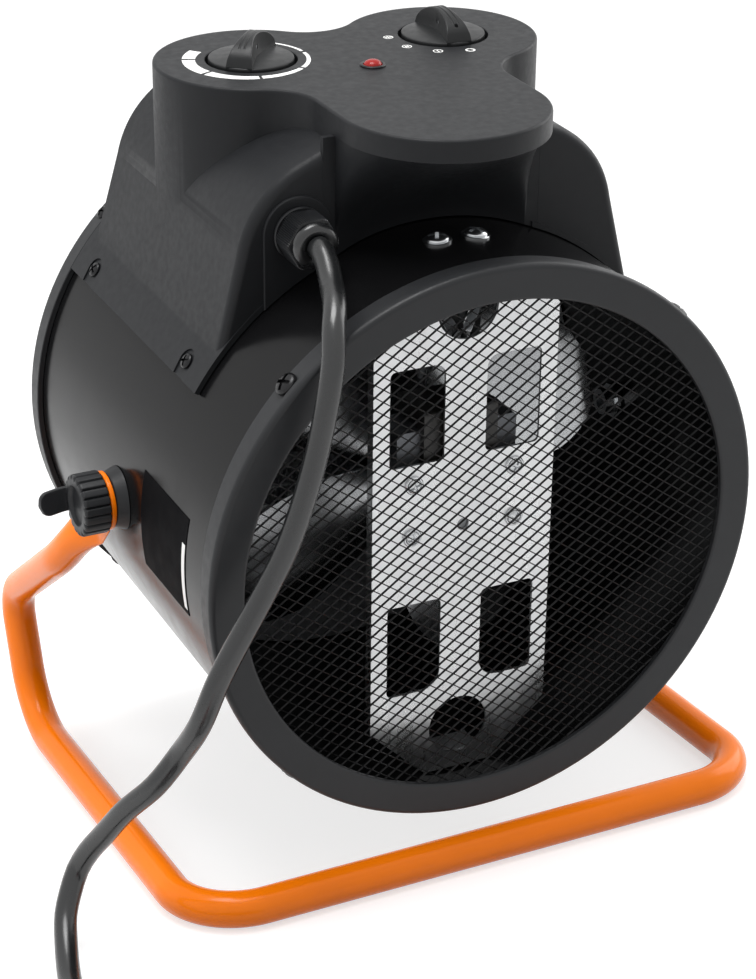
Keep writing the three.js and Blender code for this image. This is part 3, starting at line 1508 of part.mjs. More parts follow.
/** The cable's free stretches, its coil and its plug, from the surface up. */
function cordGroup() {
  const group = new THREE.Group();
  const coil = coilStations();
  addPiece(group, 'cable_run', 'cable', cableRun(coil[0]));
  addPiece(group, 'cable_coil', 'cable', solid(sweptGeometry(coil, cableRadius, coilSides)));
  addPiece(group, 'cable_tail', 'cable', cableTail(coil.at(-1)));
  const gap = leastSelfGap(coil, cableRadius, Math.round(coilSteps / 2));
  console.log(`least gap of the coil to itself: ${gap.toFixed(3)} mm`);
  const plug = new THREE.Group();
  addPiece(plug, 'plug_nut', 'rubber', plugNutBody());
  addPiece(plug, 'plug_body', 'red', plugBody());
  addPiece(plug, 'plug_insert', 'knob', plugInsert());
  plug.position.copy(plugPlace(coil.at(-1)));
  plug.rotation.x = plugLean();
  group.add(plug);
  return group;
}

const heater = heaterGroup();
const stand = new THREE.Group();
addPiece(stand, 'stand_tube', 'orange', standBody());
const cord = cordGroup();

const machine = new THREE.Group();
machine.add(heater, stand);
const bounds = new THREE.Box3().setFromObject(machine, true);
cord.position.z = bounds.min.z;
const assembly = new THREE.Group();
assembly.add(machine, cord);
assembly.position.set(
  -(bounds.min.x + bounds.max.x) / 2, -(bounds.min.y + bounds.max.y) / 2, -bounds.min.z,
);
const { x, y, z } = assembly.position;
console.log(`pivot at ${x.toFixed(3)}, ${y.toFixed(3)}, ${z.toFixed(3)}`);
const part = new THREE.Group();
part.add(assembly);

export default part;
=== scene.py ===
"""Looks of a drum fan heater with ceramic elements on a bent tube stand.

Sizes are in millimetres about the drum's middle: +X to the left of someone who looks at the air
intake, +Y towards that intake, +Z up. Each sub-assembly is a class that builds its pieces, sets
them on their CAD body and dresses them.
"""
import logging
import math
from dataclasses import dataclass
from enum import Enum
from typing import Callable, Iterable, Mapping, Sequence

import bmesh
import bpy
from mathutils import Matrix, Vector
from mathutils.geometry import tessellate_polygon


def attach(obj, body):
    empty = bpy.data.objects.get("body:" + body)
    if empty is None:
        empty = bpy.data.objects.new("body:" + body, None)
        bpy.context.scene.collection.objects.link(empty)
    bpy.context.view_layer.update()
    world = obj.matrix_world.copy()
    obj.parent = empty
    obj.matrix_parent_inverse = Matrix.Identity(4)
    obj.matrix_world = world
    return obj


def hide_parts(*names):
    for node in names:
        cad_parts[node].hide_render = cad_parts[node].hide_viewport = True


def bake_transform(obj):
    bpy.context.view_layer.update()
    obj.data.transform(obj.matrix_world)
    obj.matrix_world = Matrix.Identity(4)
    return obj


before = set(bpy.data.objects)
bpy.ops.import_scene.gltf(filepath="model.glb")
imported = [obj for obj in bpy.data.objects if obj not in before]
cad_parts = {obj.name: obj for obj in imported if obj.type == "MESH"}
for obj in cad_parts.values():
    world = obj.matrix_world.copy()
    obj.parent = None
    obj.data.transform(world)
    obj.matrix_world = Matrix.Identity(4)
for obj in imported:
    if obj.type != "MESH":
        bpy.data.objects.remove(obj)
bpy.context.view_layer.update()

log = logging.getLogger("heater")

Pair = tuple[float, float]
Triple = tuple[float, float, float]
Spot = tuple[Triple, Triple]
Tree = bpy.types.NodeTree
Socket = bpy.types.NodeSocket

MILLIMETRE = 0.001
PIVOT = Vector((0.0, 4.466, 182.812))
REST_TILT = math.radians(5.3)
TO_METRES = Matrix.Scale(MILLIMETRE, 4)
HEATER_PLACE = TO_METRES @ Matrix.Translation(PIVOT) @ Matrix.Rotation(-REST_TILT, 4, "X")
STAND_PLACE = TO_METRES @ Matrix.Translation(PIVOT)
CORD_PLACE = TO_METRES @ Matrix.Translation((PIVOT.x, PIVOT.y, 0.0))

DRUM_RADIUS = 141.2
PANEL_TOP = 202.0
KNOB_X = (53.0, -50.3)
KNOB_Y = -35.1
LAMP_PLACE = (4.0, -1.8, 0.0)
GLAND_X = 69.5
GLAND_Z = 148.0
CLEAR = 160.0

WHITE = (1.0, 1.0, 1.0, 1.0)
NOISE_SPAN = (0.3, 0.7)
BROAD_NOISE = 38.0
BAR_FACES = (
    (0, 1, 2, 3), (7, 6, 5, 4), (0, 4, 5, 1), (1, 5, 6, 2), (2, 6, 7, 3), (3, 7, 4, 0),
)


class Axis(Enum):
    """The axis that a form is turned about or extruded along."""

    X = "x"
    Y = "y"
    Z = "z"


class Body(Enum):
    """The CAD bodies that pieces ride on."""

    STAND = "stand"
    HEATER = "heater"
    FAN = "fan_rotor"
    THERMOSTAT = "thermostat"
    SELECTOR = "selector"
    CLAMP_LEFT = "clamp_left"
    CLAMP_RIGHT = "clamp_right"


class Grain(Enum):
    """The fine relief of a finish."""

    MOULDED = "moulded"
    POWDER = "powder"
    ROLLED = "rolled"
    BRUSHED = "brushed"


class Carve(Enum):
    """How a second solid changes the first."""

    JOIN = "UNION"
    CUT = "DIFFERENCE"


def linear(code: str) -> list[float]:
    """Turns six hex digits into the linear red, green and blue that a shader takes."""
    parts = [int(code[i : i + 2], 16) / 255 for i in (0, 2, 4)]
    return [part / 12.92 if part <= 0.04045 else ((part + 0.055) / 1.055) ** 2.4 for part in parts]


def add_node(tree: Tree, kind: str, inputs: Mapping[str | int, object] | None = None,
             operation: str = "") -> bpy.types.Node:
    """Adds a node with some of its inputs set or linked.

    Args:
        tree: the nodes that it joins.
        kind: the node's type without its leading "ShaderNode".
        inputs: for some inputs a plain value, a socket, or a node whose first output is meant.
        operation: what a node that calculates does.

    Returns:
        The node.
    """
    node = tree.nodes.new(f"ShaderNode{kind}")
    if operation:
        node.operation = operation
    for key, given in (inputs or {}).items():
        if isinstance(given, bpy.types.Node):
            given = given.outputs[0]
        if isinstance(given, Socket):
            tree.links.new(given, node.inputs[key])
        else:
            node.inputs[key].default_value = given
    return node


@dataclass(frozen=True)
class Finish:
    """A surface finish: colour, gloss, unevenness and fine relief.

    Attributes:
        slot: the record's material slot; not used.
        colour: six hex digits.
        metallic: 0 for plastic and paint, 1 for bare metal.
        grain_size: width of the fine relief in millimetres.
        relief: height of the fine relief in millimetres.
        mottle: share by which the colour varies.
        gloss_spread: how far the roughness varies either way.
        direction: stretch of the grain along X, Y and Z.
    """

    name: str
    slot: str
    colour: str
    roughness: float
    metallic: float = 0.0
    grain: Grain = Grain.POWDER
    grain_size: float = 1.0
    relief: float = 0.02
    mottle: float = 0.08
    gloss_spread: float = 0.05
    specular: float = 0.5
    direction: Triple = (1.0, 1.0, 1.0)

    def noise(self, tree: Tree, size: float, detail: float) -> Socket:
        """A noise in the object's own coordinates.

        Args:
            tree: the material's nodes.
            size: size of the noise in millimetres.
            detail: octaves.

        Returns:
            The socket of the noise.
        """
        place = add_node(tree, "TexCoord").outputs["Object"]
        stretched = add_node(tree, "Mapping", {"Vector": place, "Scale": self.direction})
        scale = 1 / (size * MILLIMETRE)
        noise = add_node(tree, "TexNoise", {"Vector": stretched, "Scale": scale, "Detail": detail})
        return noise.outputs["Fac"]

    def material(self) -> bpy.types.Material:
        """Makes the material, or finds it if it has been made.

        Returns:
            The node based material.
        """
        known = bpy.data.materials.get(self.name)
        if known is not None:
            return known
        material = bpy.data.materials.new(self.name)
        material.use_nodes = True
        tree = material.node_tree
        shader = tree.nodes["Principled BSDF"]
        shader.inputs["Metallic"].default_value = self.metallic
        shader.inputs["Specular IOR Level"].default_value = self.specular
        ramp = add_node(tree, "ValToRGB", {"Fac": self.noise(tree, BROAD_NOISE, 4.0)})
        shades = (1 - self.mottle, 1 + self.mottle)
        for element, place, shade in zip(ramp.color_ramp.elements, NOISE_SPAN, shades):
            element.position = place
            element.color = (*[part * shade for part in linear(self.colour)], 1.0)
        gloss = add_node(tree, "MapRange", {
            "Value": self.noise(tree, max(self.grain_size * 6, 4.0), 3.0),
            "From Min": NOISE_SPAN[0], "From Max": NOISE_SPAN[1],
            "To Min": max(0.02, self.roughness - self.gloss_spread),
            "To Max": min(1.0, self.roughness + self.gloss_spread),
        })
        tree.links.new(ramp.outputs["Color"], shader.inputs["Base Color"])
        tree.links.new(gloss.outputs["Result"], shader.inputs["Roughness"])
        bump = add_node(tree, "Bump", {
            "Height": self.relief_height(tree), "Strength": 1.0,
            "Distance": self.relief * MILLIMETRE,
        })
        tree.links.new(bump.outputs["Normal"], shader.inputs["Normal"])
        return material

    def relief_height(self, tree: Tree) -> Socket:
        """The height of the fine relief: cells for moulded plastic, noise for the rest.

        Args:
            tree: the material's nodes.

        Returns:
            The socket of the height.
        """
        if self.grain is not Grain.MOULDED:
            return self.noise(tree, self.grain_size, 2.0)
        place = add_node(tree, "TexCoord").outputs["Object"]
        scale = 1 / (self.grain_size * MILLIMETRE)
        return add_node(tree, "TexVoronoi", {"Vector": place, "Scale": scale}).outputs["Distance"]


DRUM_PAINT = Finish(
    "drum_black_enamel", "drum_paint", "101011", 0.2, grain_size=2.2, relief=0.004, mottle=0.06,
    gloss_spread=0.03, specular=0.14,
)
BEZEL_PAINT = Finish(
    "bezel_black_powder", "bezel_paint", "252628", 0.42, grain_size=0.6, relief=0.012,
    specular=0.28,
)
NET_PAINT = Finish("net_black_dip", "net_paint", "161617", 0.42, grain_size=0.8, specular=0.2)
HOUSING_PLASTIC = Finish(
    "housing_moulded_black", "housing_plastic", "212224", 0.45, grain=Grain.MOULDED,
    grain_size=0.55, relief=0.02, mottle=0.05, specular=0.18,
)
ZINC = Finish(
    "bracket_bright_zinc", "zinc_sheet", "dadbdc", 0.3, 0.92, Grain.ROLLED, 0.9, 0.008,
    mottle=0.05, gloss_spread=0.06, direction=(1.0, 1.0, 0.12),
)
INNER_ZINC = Finish(
    "baffle_dull_zinc", "zinc_sheet", "8c8e90", 0.5, 0.8, Grain.ROLLED, 1.4, 0.01,
    direction=(0.2, 1.0, 1.0),
)
BRIGHT_STEEL = Finish(
    "screw_bright_steel", "bright_steel", "c9cbcd", 0.22, 1.0, Grain.BRUSHED, 0.5, 0.004,
)
LAMINATIONS = Finish(
    "stator_laminations", "laminations", "6a6c70", 0.5, 0.8, Grain.BRUSHED, 0.5, 0.05,
    mottle=0.12, direction=(0.1, 1.0, 0.1),
)
WINDING = Finish("winding_black_tape", "winding", "1d1b19", 0.45, grain_size=1.5, relief=0.05)
FAN_METAL = Finish(
    "fan_bright_aluminium", "fan_aluminium", "b4b6b8", 0.22, 1.0, Grain.ROLLED, 3.0, 0.01,
    mottle=0.04, gloss_spread=0.05,
)
FIN_METAL = Finish("fin_foil", "ceramic_core", "b4b6b8", 0.3, 0.9, Grain.ROLLED, 1.0, 0.01)
STAND_PAINT = Finish(
    "stand_orange_enamel", "stand_paint", "ff7f06", 0.2, grain_size=2.6, relief=0.004,
    mottle=0.03, gloss_spread=0.03, specular=0.25,
)
KNOB_PLASTIC = Finish(
    "knob_satin_black", "knob_plastic", "1e1f20", 0.38, grain=Grain.MOULDED, grain_size=0.4,
    relief=0.012, specular=0.3,
)
CLAMP_PLASTIC = Finish(
    "clamp_moulded_black", "knob_plastic", "202123", 0.44, grain=Grain.MOULDED, grain_size=0.5,
    relief=0.02, specular=0.3,
)
GLAND_PLASTIC = Finish(
    "gland_nylon_black", "knob_plastic", "1b1c1e", 0.34, grain_size=0.7, relief=0.012,
    specular=0.35,
)
SCREW_BLACK = Finish("screw_black_oxide", "knob_plastic", "18181a", 0.3, 0.4, Grain.POWDER, 0.5, 0.01)
RUBBER = Finish("rubber_black", "rubber_black", "17181a", 0.55, grain_size=0.5, relief=0.02)
CABLE_JACKET = Finish(
    "cable_black_jacket", "cable_jacket", "1a1b1c", 0.26, grain_size=1.8, relief=0.015,
    mottle=0.06, gloss_spread=0.05, specular=0.7,
)
LAMP_RED = Finish(
    "lamp_red_lens", "lamp_red", "a01c18", 0.16, grain_size=1.2, relief=0.05, mottle=0.4,
    specular=0.3,
)
SWITCH_PLASTIC = Finish(
    "switch_pale_plastic", "switch_plastic", "c9c7bd", 0.45, grain_size=0.5, relief=0.01,
)
COPPER = Finish("capillary_copper", "copper_tube", "b8704a", 0.28, 1.0, Grain.BRUSHED, 0.8, 0.004)
PLUG_RED = Finish(
    "plug_red_plastic", "plug_red", "b52a22", 0.4, grain=Grain.MOULDED, grain_size=0.5,
    relief=0.012,
)
PLUG_BLACK = Finish(
    "plug_black_plastic", "plug_black", "232426", 0.48, grain=Grain.MOULDED, grain_size=0.5,
    relief=0.015,
)
PRINT_WHITE = Finish(
    "panel_white_print", "switch_plastic", "f2f2f0", 0.5, grain_size=0.3, relief=0.004,
    mottle=0.02,
)
PLATE_BLACK = Finish(
    "plate_black_film", "rubber_black", "08080a", 0.7, grain_size=1.5, relief=0.004,
    specular=0.04,
)
WIRE_GREY = Finish("wire_grey", "rubber_black", "6f7174", 0.4, grain_size=0.8)


def linked(name: str, data: bpy.types.ID) -> bpy.types.Object:
    """Makes an object of some data and adds it to the scene.

    Args:
        name: its name.
        data: its mesh, camera or light.

    Returns:
        The object.
    """
    thing = bpy.data.objects.new(name, data)
    bpy.context.scene.collection.objects.link(thing)
    return thing


class Form:
    """A mesh in the making, in millimetres."""

    def __init__(self, points: Iterable[Sequence[float]] = (), faces: Iterable[tuple] = ()) -> None:
        """Starts from points and faces, or empty."""
        self.points: list[Vector] = [Vector(point) for point in points]
        self.faces: list[tuple[int, ...]] = list(faces)

    def add(self, *others: "Form") -> "Form":
        """Takes in other forms as they are.

        Args:
            others: the forms to take in.

        Returns:
            This form.
        """
        for other in others:
            base = len(self.points)
            self.points += [point.copy() for point in other.points]
            self.faces += [tuple(base + corner for corner in face) for face in other.faces]
        return self

    def take(self, points: Sequence[Sequence[float]]) -> range:
        """Takes in points and gives their numbers."""
        self.points += [Vector(point) for point in points]
        return range(len(self.points) - len(points), len(self.points))

    def moved(self, matrix: Matrix) -> "Form":
        """A copy of the form, moved by a matrix."""
        return Form([matrix @ point for point in self.points], self.faces)

    def at(self, x: float, y: float, z: float) -> "Form":
        """A copy of the form, shifted."""
        return self.moved(Matrix.Translation((x, y, z)))

    def mesh(self, name: str) -> bpy.types.Mesh:
        """A Blender mesh of the form with doubled points merged and faces turned out.

        Args:
            name: name of the mesh.

        Returns:
            The mesh, still in millimetres.
        """
        mesh = bpy.data.meshes.new(name)
        mesh.from_pydata([tuple(point) for point in self.points], [], self.faces)
        work = bmesh.new()
        work.from_mesh(mesh)
        bmesh.ops.remove_doubles(work, verts=work.verts, dist=1e-4)
        bmesh.ops.dissolve_degenerate(work, edges=work.edges, dist=1e-5)
        bmesh.ops.recalc_face_normals(work, faces=work.faces)
        work.to_mesh(mesh)
        work.free()
        return mesh


def turned(profile: Sequence[Pair], axis: Axis = Axis.Y, sides: int = 64) -> Form:
    """Turns a closed profile about an axis.

    Args:
        profile: radius and height points, the last one joined to the first.
        axis: the axis.
        sides: number of sides.

    Returns:
        The turned form.
    """
    points, faces = [], []
    count = len(profile)
    for i in range(sides):
        angle = 2 * math.pi * i / sides
        for radius, height in profile:
            points.append(on_axis(radius * math.cos(angle), radius * math.sin(angle), height, axis))
    for i in range(sides):
        following = (i + 1) % sides
        for j in range(count):
            k = (j + 1) % count
            if profile[j][0] < 1e-6 and profile[k][0] < 1e-6:
                continue
            faces.append((i * count + j, i * count + k, following * count + k, following * count + j))
    return Form(points, faces)


def on_axis(a: float, b: float, height: float, axis: Axis) -> Triple:
    """Places two flat coordinates and a height so that the height runs along an axis."""
    return {Axis.X: (height, a, b), Axis.Y: (a, height, b), Axis.Z: (a, b, height)}[axis]


def rod(radius: float, low: float, high: float, axis: Axis = Axis.Y, sides: int = 32,
        edge: float = 0.0) -> Form:
    """A round bar between two heights of an axis, with its ends' edges broken.

    Args:
        radius: the bar's radius.
        low: its lower end.
        high: its higher end.
        axis: its axis.
        sides: number of sides.
        edge: radius of the edges.

    Returns:
        The bar.
    """
    corner = quarter((radius - edge, high - edge), (edge, edge), 3) if edge > 0 else [(radius, high)]
    foot = [(r, low + high - h) for r, h in reversed(corner)]
    return turned([(0.0, low), *foot, *corner, (0.0, high)], axis, sides)


def ring(inner: float, outer: float, low: float, high: float, axis: Axis = Axis.Y,
         sides: int = 32) -> Form:
    """A flat ring between two radii and two heights."""
    return turned([(inner, low), (outer, low), (outer, high), (inner, high)], axis, sides)


def circle(radius: float, sides: int = 48, centre: Pair = (0.0, 0.0)) -> list[Pair]:
    """A round outline, anticlockwise."""
    return arc(centre, radius, 0.0, 2 * math.pi, sides)[:-1]


def arc(centre: Pair, radius: float, start: float, end: float, steps: int) -> list[Pair]:
    """Points along an arc between two angles in radians, one more than its chords."""
    angles = [start + (end - start) * i / steps for i in range(steps + 1)]
    return [(centre[0] + radius * math.cos(a), centre[1] + radius * math.sin(a)) for a in angles]


def quarter(centre: Pair, reach: Pair, steps: int) -> list[Pair]:
    """A quarter of an oval from its side to its top, with its half width and half height."""
    angles = [math.pi / 2 * i / steps for i in range(steps + 1)]
    return [(centre[0] + reach[0] * math.cos(a), centre[1] + reach[1] * math.sin(a)) for a in angles]


def polar(radius_at: Callable[[float], float], count: int) -> list[Pair]:
    """An anticlockwise outline whose radius is given at each angle in radians."""
    rays = [(angle, radius_at(angle)) for angle in (2 * math.pi * i / count for i in range(count))]
    return [(radius * math.cos(angle), radius * math.sin(angle)) for angle, radius in rays]


def rounded_box(x0: float, y0: float, x1: float, y1: float, fillets: Sequence[float],
                steps: int = 6) -> list[Pair]:
    """A rectangle with a fillet of its own at each corner.

    Args:
        x0: left side.
        y0: lower side.
        x1: right side.
        y1: upper side.
        fillets: radii from the lower left corner on, anticlockwise.
        steps: chords in each fillet.

    Returns:
        The outline, anticlockwise.
    """
    a, b, c, d = (max(value, 0.01) for value in fillets)
    corners = (
        (2, x0 + a, y0 + a, a), (3, x1 - b, y0 + b, b), (0, x1 - c, y1 - c, c), (1, x0 + d, y1 - d, d),
    )
    right = math.pi / 2
    return [
        point for turn, x, y, radius in corners
        for point in arc((x, y), radius, turn * right, (turn + 1) * right, steps)
    ]


def inset(outline: Sequence[Pair], amount: float) -> list[Pair]:
    """Draws an anticlockwise outline in by an amount along its corner bisectors.

    Args:
        outline: the outline.
        amount: how far it is drawn in.

    Returns:
        The smaller outline.
    """
    count = len(outline)
    drawn = []
    for i, point in enumerate(outline):
        before, after = Vector(outline[i - 1]), Vector(outline[(i + 1) % count])
        here = Vector(point)
        first, second = (here - before).normalized(), (after - here).normalized()
        normal = Vector((-first.y - second.y, first.x + second.x))
        if normal.length < 1e-9:
            normal = Vector((-first.y, first.x))
        normal.normalize()
        lean = max(0.5, normal.dot(Vector((-first.y, first.x))))
        drawn.append(tuple(here + normal * (amount / lean)))
    return drawn


def plate(outline: Sequence[Pair], low: float, high: float, axis: Axis = Axis.Z,
          holes: Sequence[Sequence[Pair]] = (), low_edge: float = 0.0,
          high_edge: float = 0.0, steps: int = 3) -> Form:
    """An outline made thick between two heights, with rounded edges and straight holes.

    Args:
        outline: the outer outline, anticlockwise.
        low: the lower face.
        high: the upper face.
        axis: the axis of the heights.
        holes: inner outlines.
        low_edge: edge radius at the lower face.
        high_edge: edge radius at the upper face.
        steps: chords in each edge.

    Returns:
        The closed form.
    """
    angles = [math.pi / 2 * i / steps for i in range(steps + 1)]
    levels = [(0.0, low)]
    if low_edge > 0:
        levels = [(low_edge * (1 - math.sin(a)), low + low_edge * (1 - math.cos(a))) for a in angles]
    if high_edge > 0:
        levels += [
            (high_edge * (1 - math.cos(a)), high - high_edge * (1 - math.sin(a))) for a in angles
        ]
    else:
        levels.append((0.0, high))
    form = Form()
    rings = []
    for drawn_in, height in levels:
        level = inset(outline, drawn_in) if drawn_in > 0 else outline
        rings.append(form.take([on_axis(a, b, height, axis) for a, b in level]))
    add_walls(form, rings)
    loops = {low: [rings[0]], high: [rings[-1]]}
    for hole in holes:
        pair = [form.take([on_axis(a, b, height, axis) for a, b in hole]) for height in (low, high)]
        loops[low].append(pair[0])
        loops[high].append(pair[1])
        add_walls(form, pair)
    for group in loops.values():
        flat = [corner for loop in group for corner in loop]
        drawn = tessellate_polygon([[form.points[corner] for corner in loop] for loop in group])
        form.faces += [tuple(flat[corner] for corner in face) for face in drawn]
    return form


def add_walls(form: Form, rings: Sequence[Sequence[int]]) -> None:
    """Adds quads between each ring of points and the next one.

    Args:
        form: the form that holds the points.
        rings: rings of point numbers of equal length.
    """
    for first, second in zip(rings, rings[1:]):
        count = len(first)
        for i in range(count):
            j = (i + 1) % count
            form.faces.append((first[i], first[j], second[j], second[i]))


def block(low: Triple, high: Triple, edge: float = 0.0) -> Form:
    """A rectangular block between two corners, with edges round its vertical sides."""
    outline = rounded_box(low[0], low[1], high[0], high[1], [edge] * 4, 3)
    return plate(outline, low[2], high[2], Axis.Z, (), edge, edge)


def swept(path: Sequence[Vector], section: Callable[[int], Sequence[Pair]],
          reference: Vector | None = None) -> Form:
    """Carries a section along a path without twist.

    Args:
        path: centre points.
        section: gives the section's outline at each point, along and across the reference.
        reference: the direction that the section's first axis starts along.

    Returns:
        The closed form.
    """
    form = Form()
    rings = []
    side = reference or Vector((0.0, 0.0, 1.0))
    last = len(path) - 1
    for i, centre in enumerate(path):
        ahead = (path[min(i + 1, last)] - path[max(i - 1, 0)]).normalized()
        side = side - ahead * side.dot(ahead)
        if side.length < 1e-6:
            side = ahead.orthogonal()
        side.normalize()
        across = ahead.cross(side)
        rings.append(form.take([centre + side * a + across * b for a, b in section(i)]))
    add_walls(form, rings)
    form.faces += [tuple(reversed(rings[0])), tuple(rings[-1])]
    return form


def tube(path: Sequence[Vector], radius: float, sides: int = 20) -> Form:
    """A round solid tube along a path."""
    outline = circle(radius, sides)
    return swept(path, lambda _: outline)


def thick_sheet(grid: Sequence[Sequence[Vector]], depth: Vector) -> Form:
    """Closes a grid of points into a sheet.

    Args:
        grid: rows of points.
        depth: from the first skin to the second.

    Returns:
        The closed sheet.
    """
    rows, columns = len(grid), len(grid[0])
    form = Form([point + shift for shift in (Vector(), depth) for row in grid for point in row])

    def corner(skin: int, i: int, j: int) -> int:
        """Number of a point of one skin."""
        return skin * rows * columns + i * columns + j

    for i in range(rows - 1):
        for j in range(columns - 1):
            cell = ((i, j), (i, j + 1), (i + 1, j + 1), (i + 1, j))
            form.faces.append(tuple(corner(0, *spot) for spot in cell))
            form.faces.append(tuple(corner(1, *spot) for spot in reversed(cell)))
    border = [(0, j) for j in range(columns)] + [(i, columns - 1) for i in range(1, rows)]
    border += [(rows - 1, j) for j in range(columns - 2, -1, -1)]
    border += [(i, 0) for i in range(rows - 2, 0, -1)]
    for a, b in zip(border, [*border[1:], border[0]]):
        form.faces.append((corner(0, *b), corner(0, *a), corner(1, *a), corner(1, *b)))
    return form


def filleted_path(corners: Sequence[Sequence[float]], bends: Sequence[float],
                  step: float = 5.0) -> list[Vector]:
    """Straight runs with an arc at each inner corner.

    Args:
        corners: corner points.
        bends: the bend radius at each inner corner.
        step: degrees between the points of an arc.

    Returns:
        Points along the path.
    """
    points = [Vector(corner) for corner in corners]
    path = [points[0]]
    for bend, before, corner, after in zip(bends, points, points[1:], points[2:]):
        back, ahead = (before - corner).normalized(), (after - corner).normalized()
        turn = math.pi - back.angle(ahead)
        reach = bend * math.tan(turn / 2)
        middle = (back + ahead).normalized() * (bend / math.cos(turn / 2))
        centre = corner + middle
        start = corner + back * reach - centre
        axis = ahead.cross(back).normalized()
        steps = max(1, round(math.degrees(turn) / step))
        for i in range(steps + 1):
            path.append(centre + Matrix.Rotation(turn * i / steps, 3, axis) @ start)
    path.append(points[-1])
    return path


def smooth_curve(points: Sequence[Vector], spacing: float) -> list[Vector]:
    """A centripetal curve through points.

    Args:
        points: the points that it meets.
        spacing: about how far apart the returned points lie.

    Returns:
        Points along the curve.
    """
    ends = [points[0] * 2 - points[1], *points, points[-1] * 2 - points[-2]]
    path = []
    for a, b, c, d in zip(ends, ends[1:], ends[2:], ends[3:]):
        knots = [0.0]
        for first, second in ((a, b), (b, c), (c, d)):
            knots.append(knots[-1] + max(1e-4, (second - first).length ** 0.5))
        steps = max(1, round((c - b).length / spacing))
        for i in range(steps):
            t = knots[1] + (knots[2] - knots[1]) * i / steps
            level = [blend_between(p, q, knots[k], knots[k + 1], t)
                     for k, (p, q) in enumerate(((a, b), (b, c), (c, d)))]
            first = blend_between(level[0], level[1], knots[0], knots[2], t)
            second = blend_between(level[1], level[2], knots[1], knots[3], t)
            path.append(blend_between(first, second, knots[1], knots[2], t))
    path.append(points[-1].copy())
    return path


def blend_between(a: Vector, b: Vector, low: float, high: float, t: float) -> Vector:
    """The point at t on the line that is at a for low and at b for high."""
    return a * ((high - t) / (high - low)) + b * ((t - low) / (high - low))


def around(radius: float, rows: Sequence[float], angles: Sequence[float]) -> list[Spot]:
    """Spots on the drum, each a point and its outward direction.

    Args:
        radius: how far they lie from the drum's axis.
        rows: their places along the drum.
        angles: degrees from +X towards +Z.

    Returns:
        The spots, row by row at each angle.
    """
    spots = []
    for degrees in angles:
        angle = math.radians(degrees)
        out = (math.cos(angle), 0.0, math.sin(angle))
        spots += [((radius * out[0], y, radius * out[2]), out) for y in rows]
    return spots


class Workpiece:
    """A solid that others are joined to and cut from, in millimetres."""

    def __init__(self, form: Form) -> None:
        """Starts from one closed form."""
        self.held = linked("workpiece", form.mesh("workpiece"))

    def carve(self, how: Carve, *forms: Form) -> "Workpiece":
        """Joins or cuts with each of the forms in turn.

        Args:
            how: what to do with the forms.
            forms: the closed forms.

        Returns:
            This workpiece.
        """
        for form in forms:
            tool = linked("tool", form.mesh("tool"))
            modifier = self.held.modifiers.new("carve", "BOOLEAN")
            modifier.operation = how.value
            modifier.solver = "MANIFOLD"
            modifier.object = tool
            graph = bpy.context.evaluated_depsgraph_get()
            made = bpy.data.meshes.new_from_object(self.held.evaluated_get(graph))
            self.held.modifiers.clear()
            old = self.held.data
            self.held.data = made
            bpy.data.meshes.remove(old)
            bpy.data.objects.remove(tool)
        return self

    def join(self, *forms: Form) -> "Workpiece":
        """Joins forms to the solid."""
        return self.carve(Carve.JOIN, *forms)

    def cut(self, *forms: Form) -> "Workpiece":
        """Cuts forms from the solid."""
        return self.carve(Carve.CUT, *forms)

    def form(self) -> Form:
        """The solid as a form, and the end of the workpiece.

        Returns:
            The solid.
        """
        mesh = self.held.data
        made = Form([v.co for v in mesh.vertices], [tuple(p.vertices) for p in mesh.polygons])
        bpy.data.objects.remove(self.held)
        return made


def piece(name: str, form: Form, finish: Finish, body: Body | None = Body.HEATER,
          place: Matrix = HEATER_PLACE, nodes: Sequence[str] = (),
          crease: float = 32.0) -> bpy.types.Object:
    """Makes a finished piece, sets it on its CAD body and hides the nodes it stands for.

    Args:
        name: the piece's name.
        form: its shape in millimetres.
        finish: its finish.
        body: the CAD body it rides on, or None to set it on no body, as for the cable that runs between
            two.
        place: takes the form's millimetres to the scene's metres.
        nodes: the CAD nodes that it replaces.
        crease: degrees above which an edge stays sharp.

    Returns:
        The object.
    """
    mesh = form.mesh(name)
    mesh.transform(place)
    mesh.shade_smooth()
    mesh.set_sharp_from_angle(angle=math.radians(crease))
    thing = linked(name, mesh)
    thing.data.materials.append(finish.material())
    weights = thing.modifiers.new("even_normals", "WEIGHTED_NORMAL")
    weights.keep_sharp = True
    if body is not None:
        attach(thing, body.value)
    if nodes:
        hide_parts(*nodes)
    log.info("%s: %d faces on %s", name, len(mesh.polygons), body)
    return thing


def dress(finish: Finish, *nodes: str) -> None:
    """Gives CAD nodes that stay a finish.

    Args:
        finish: the finish.
        nodes: names of the nodes.
    """
    for node in nodes:
        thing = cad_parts[node]
        thing.data.materials.clear()
        thing.data.materials.append(finish.material())
        log.info("%s: dressed", node)


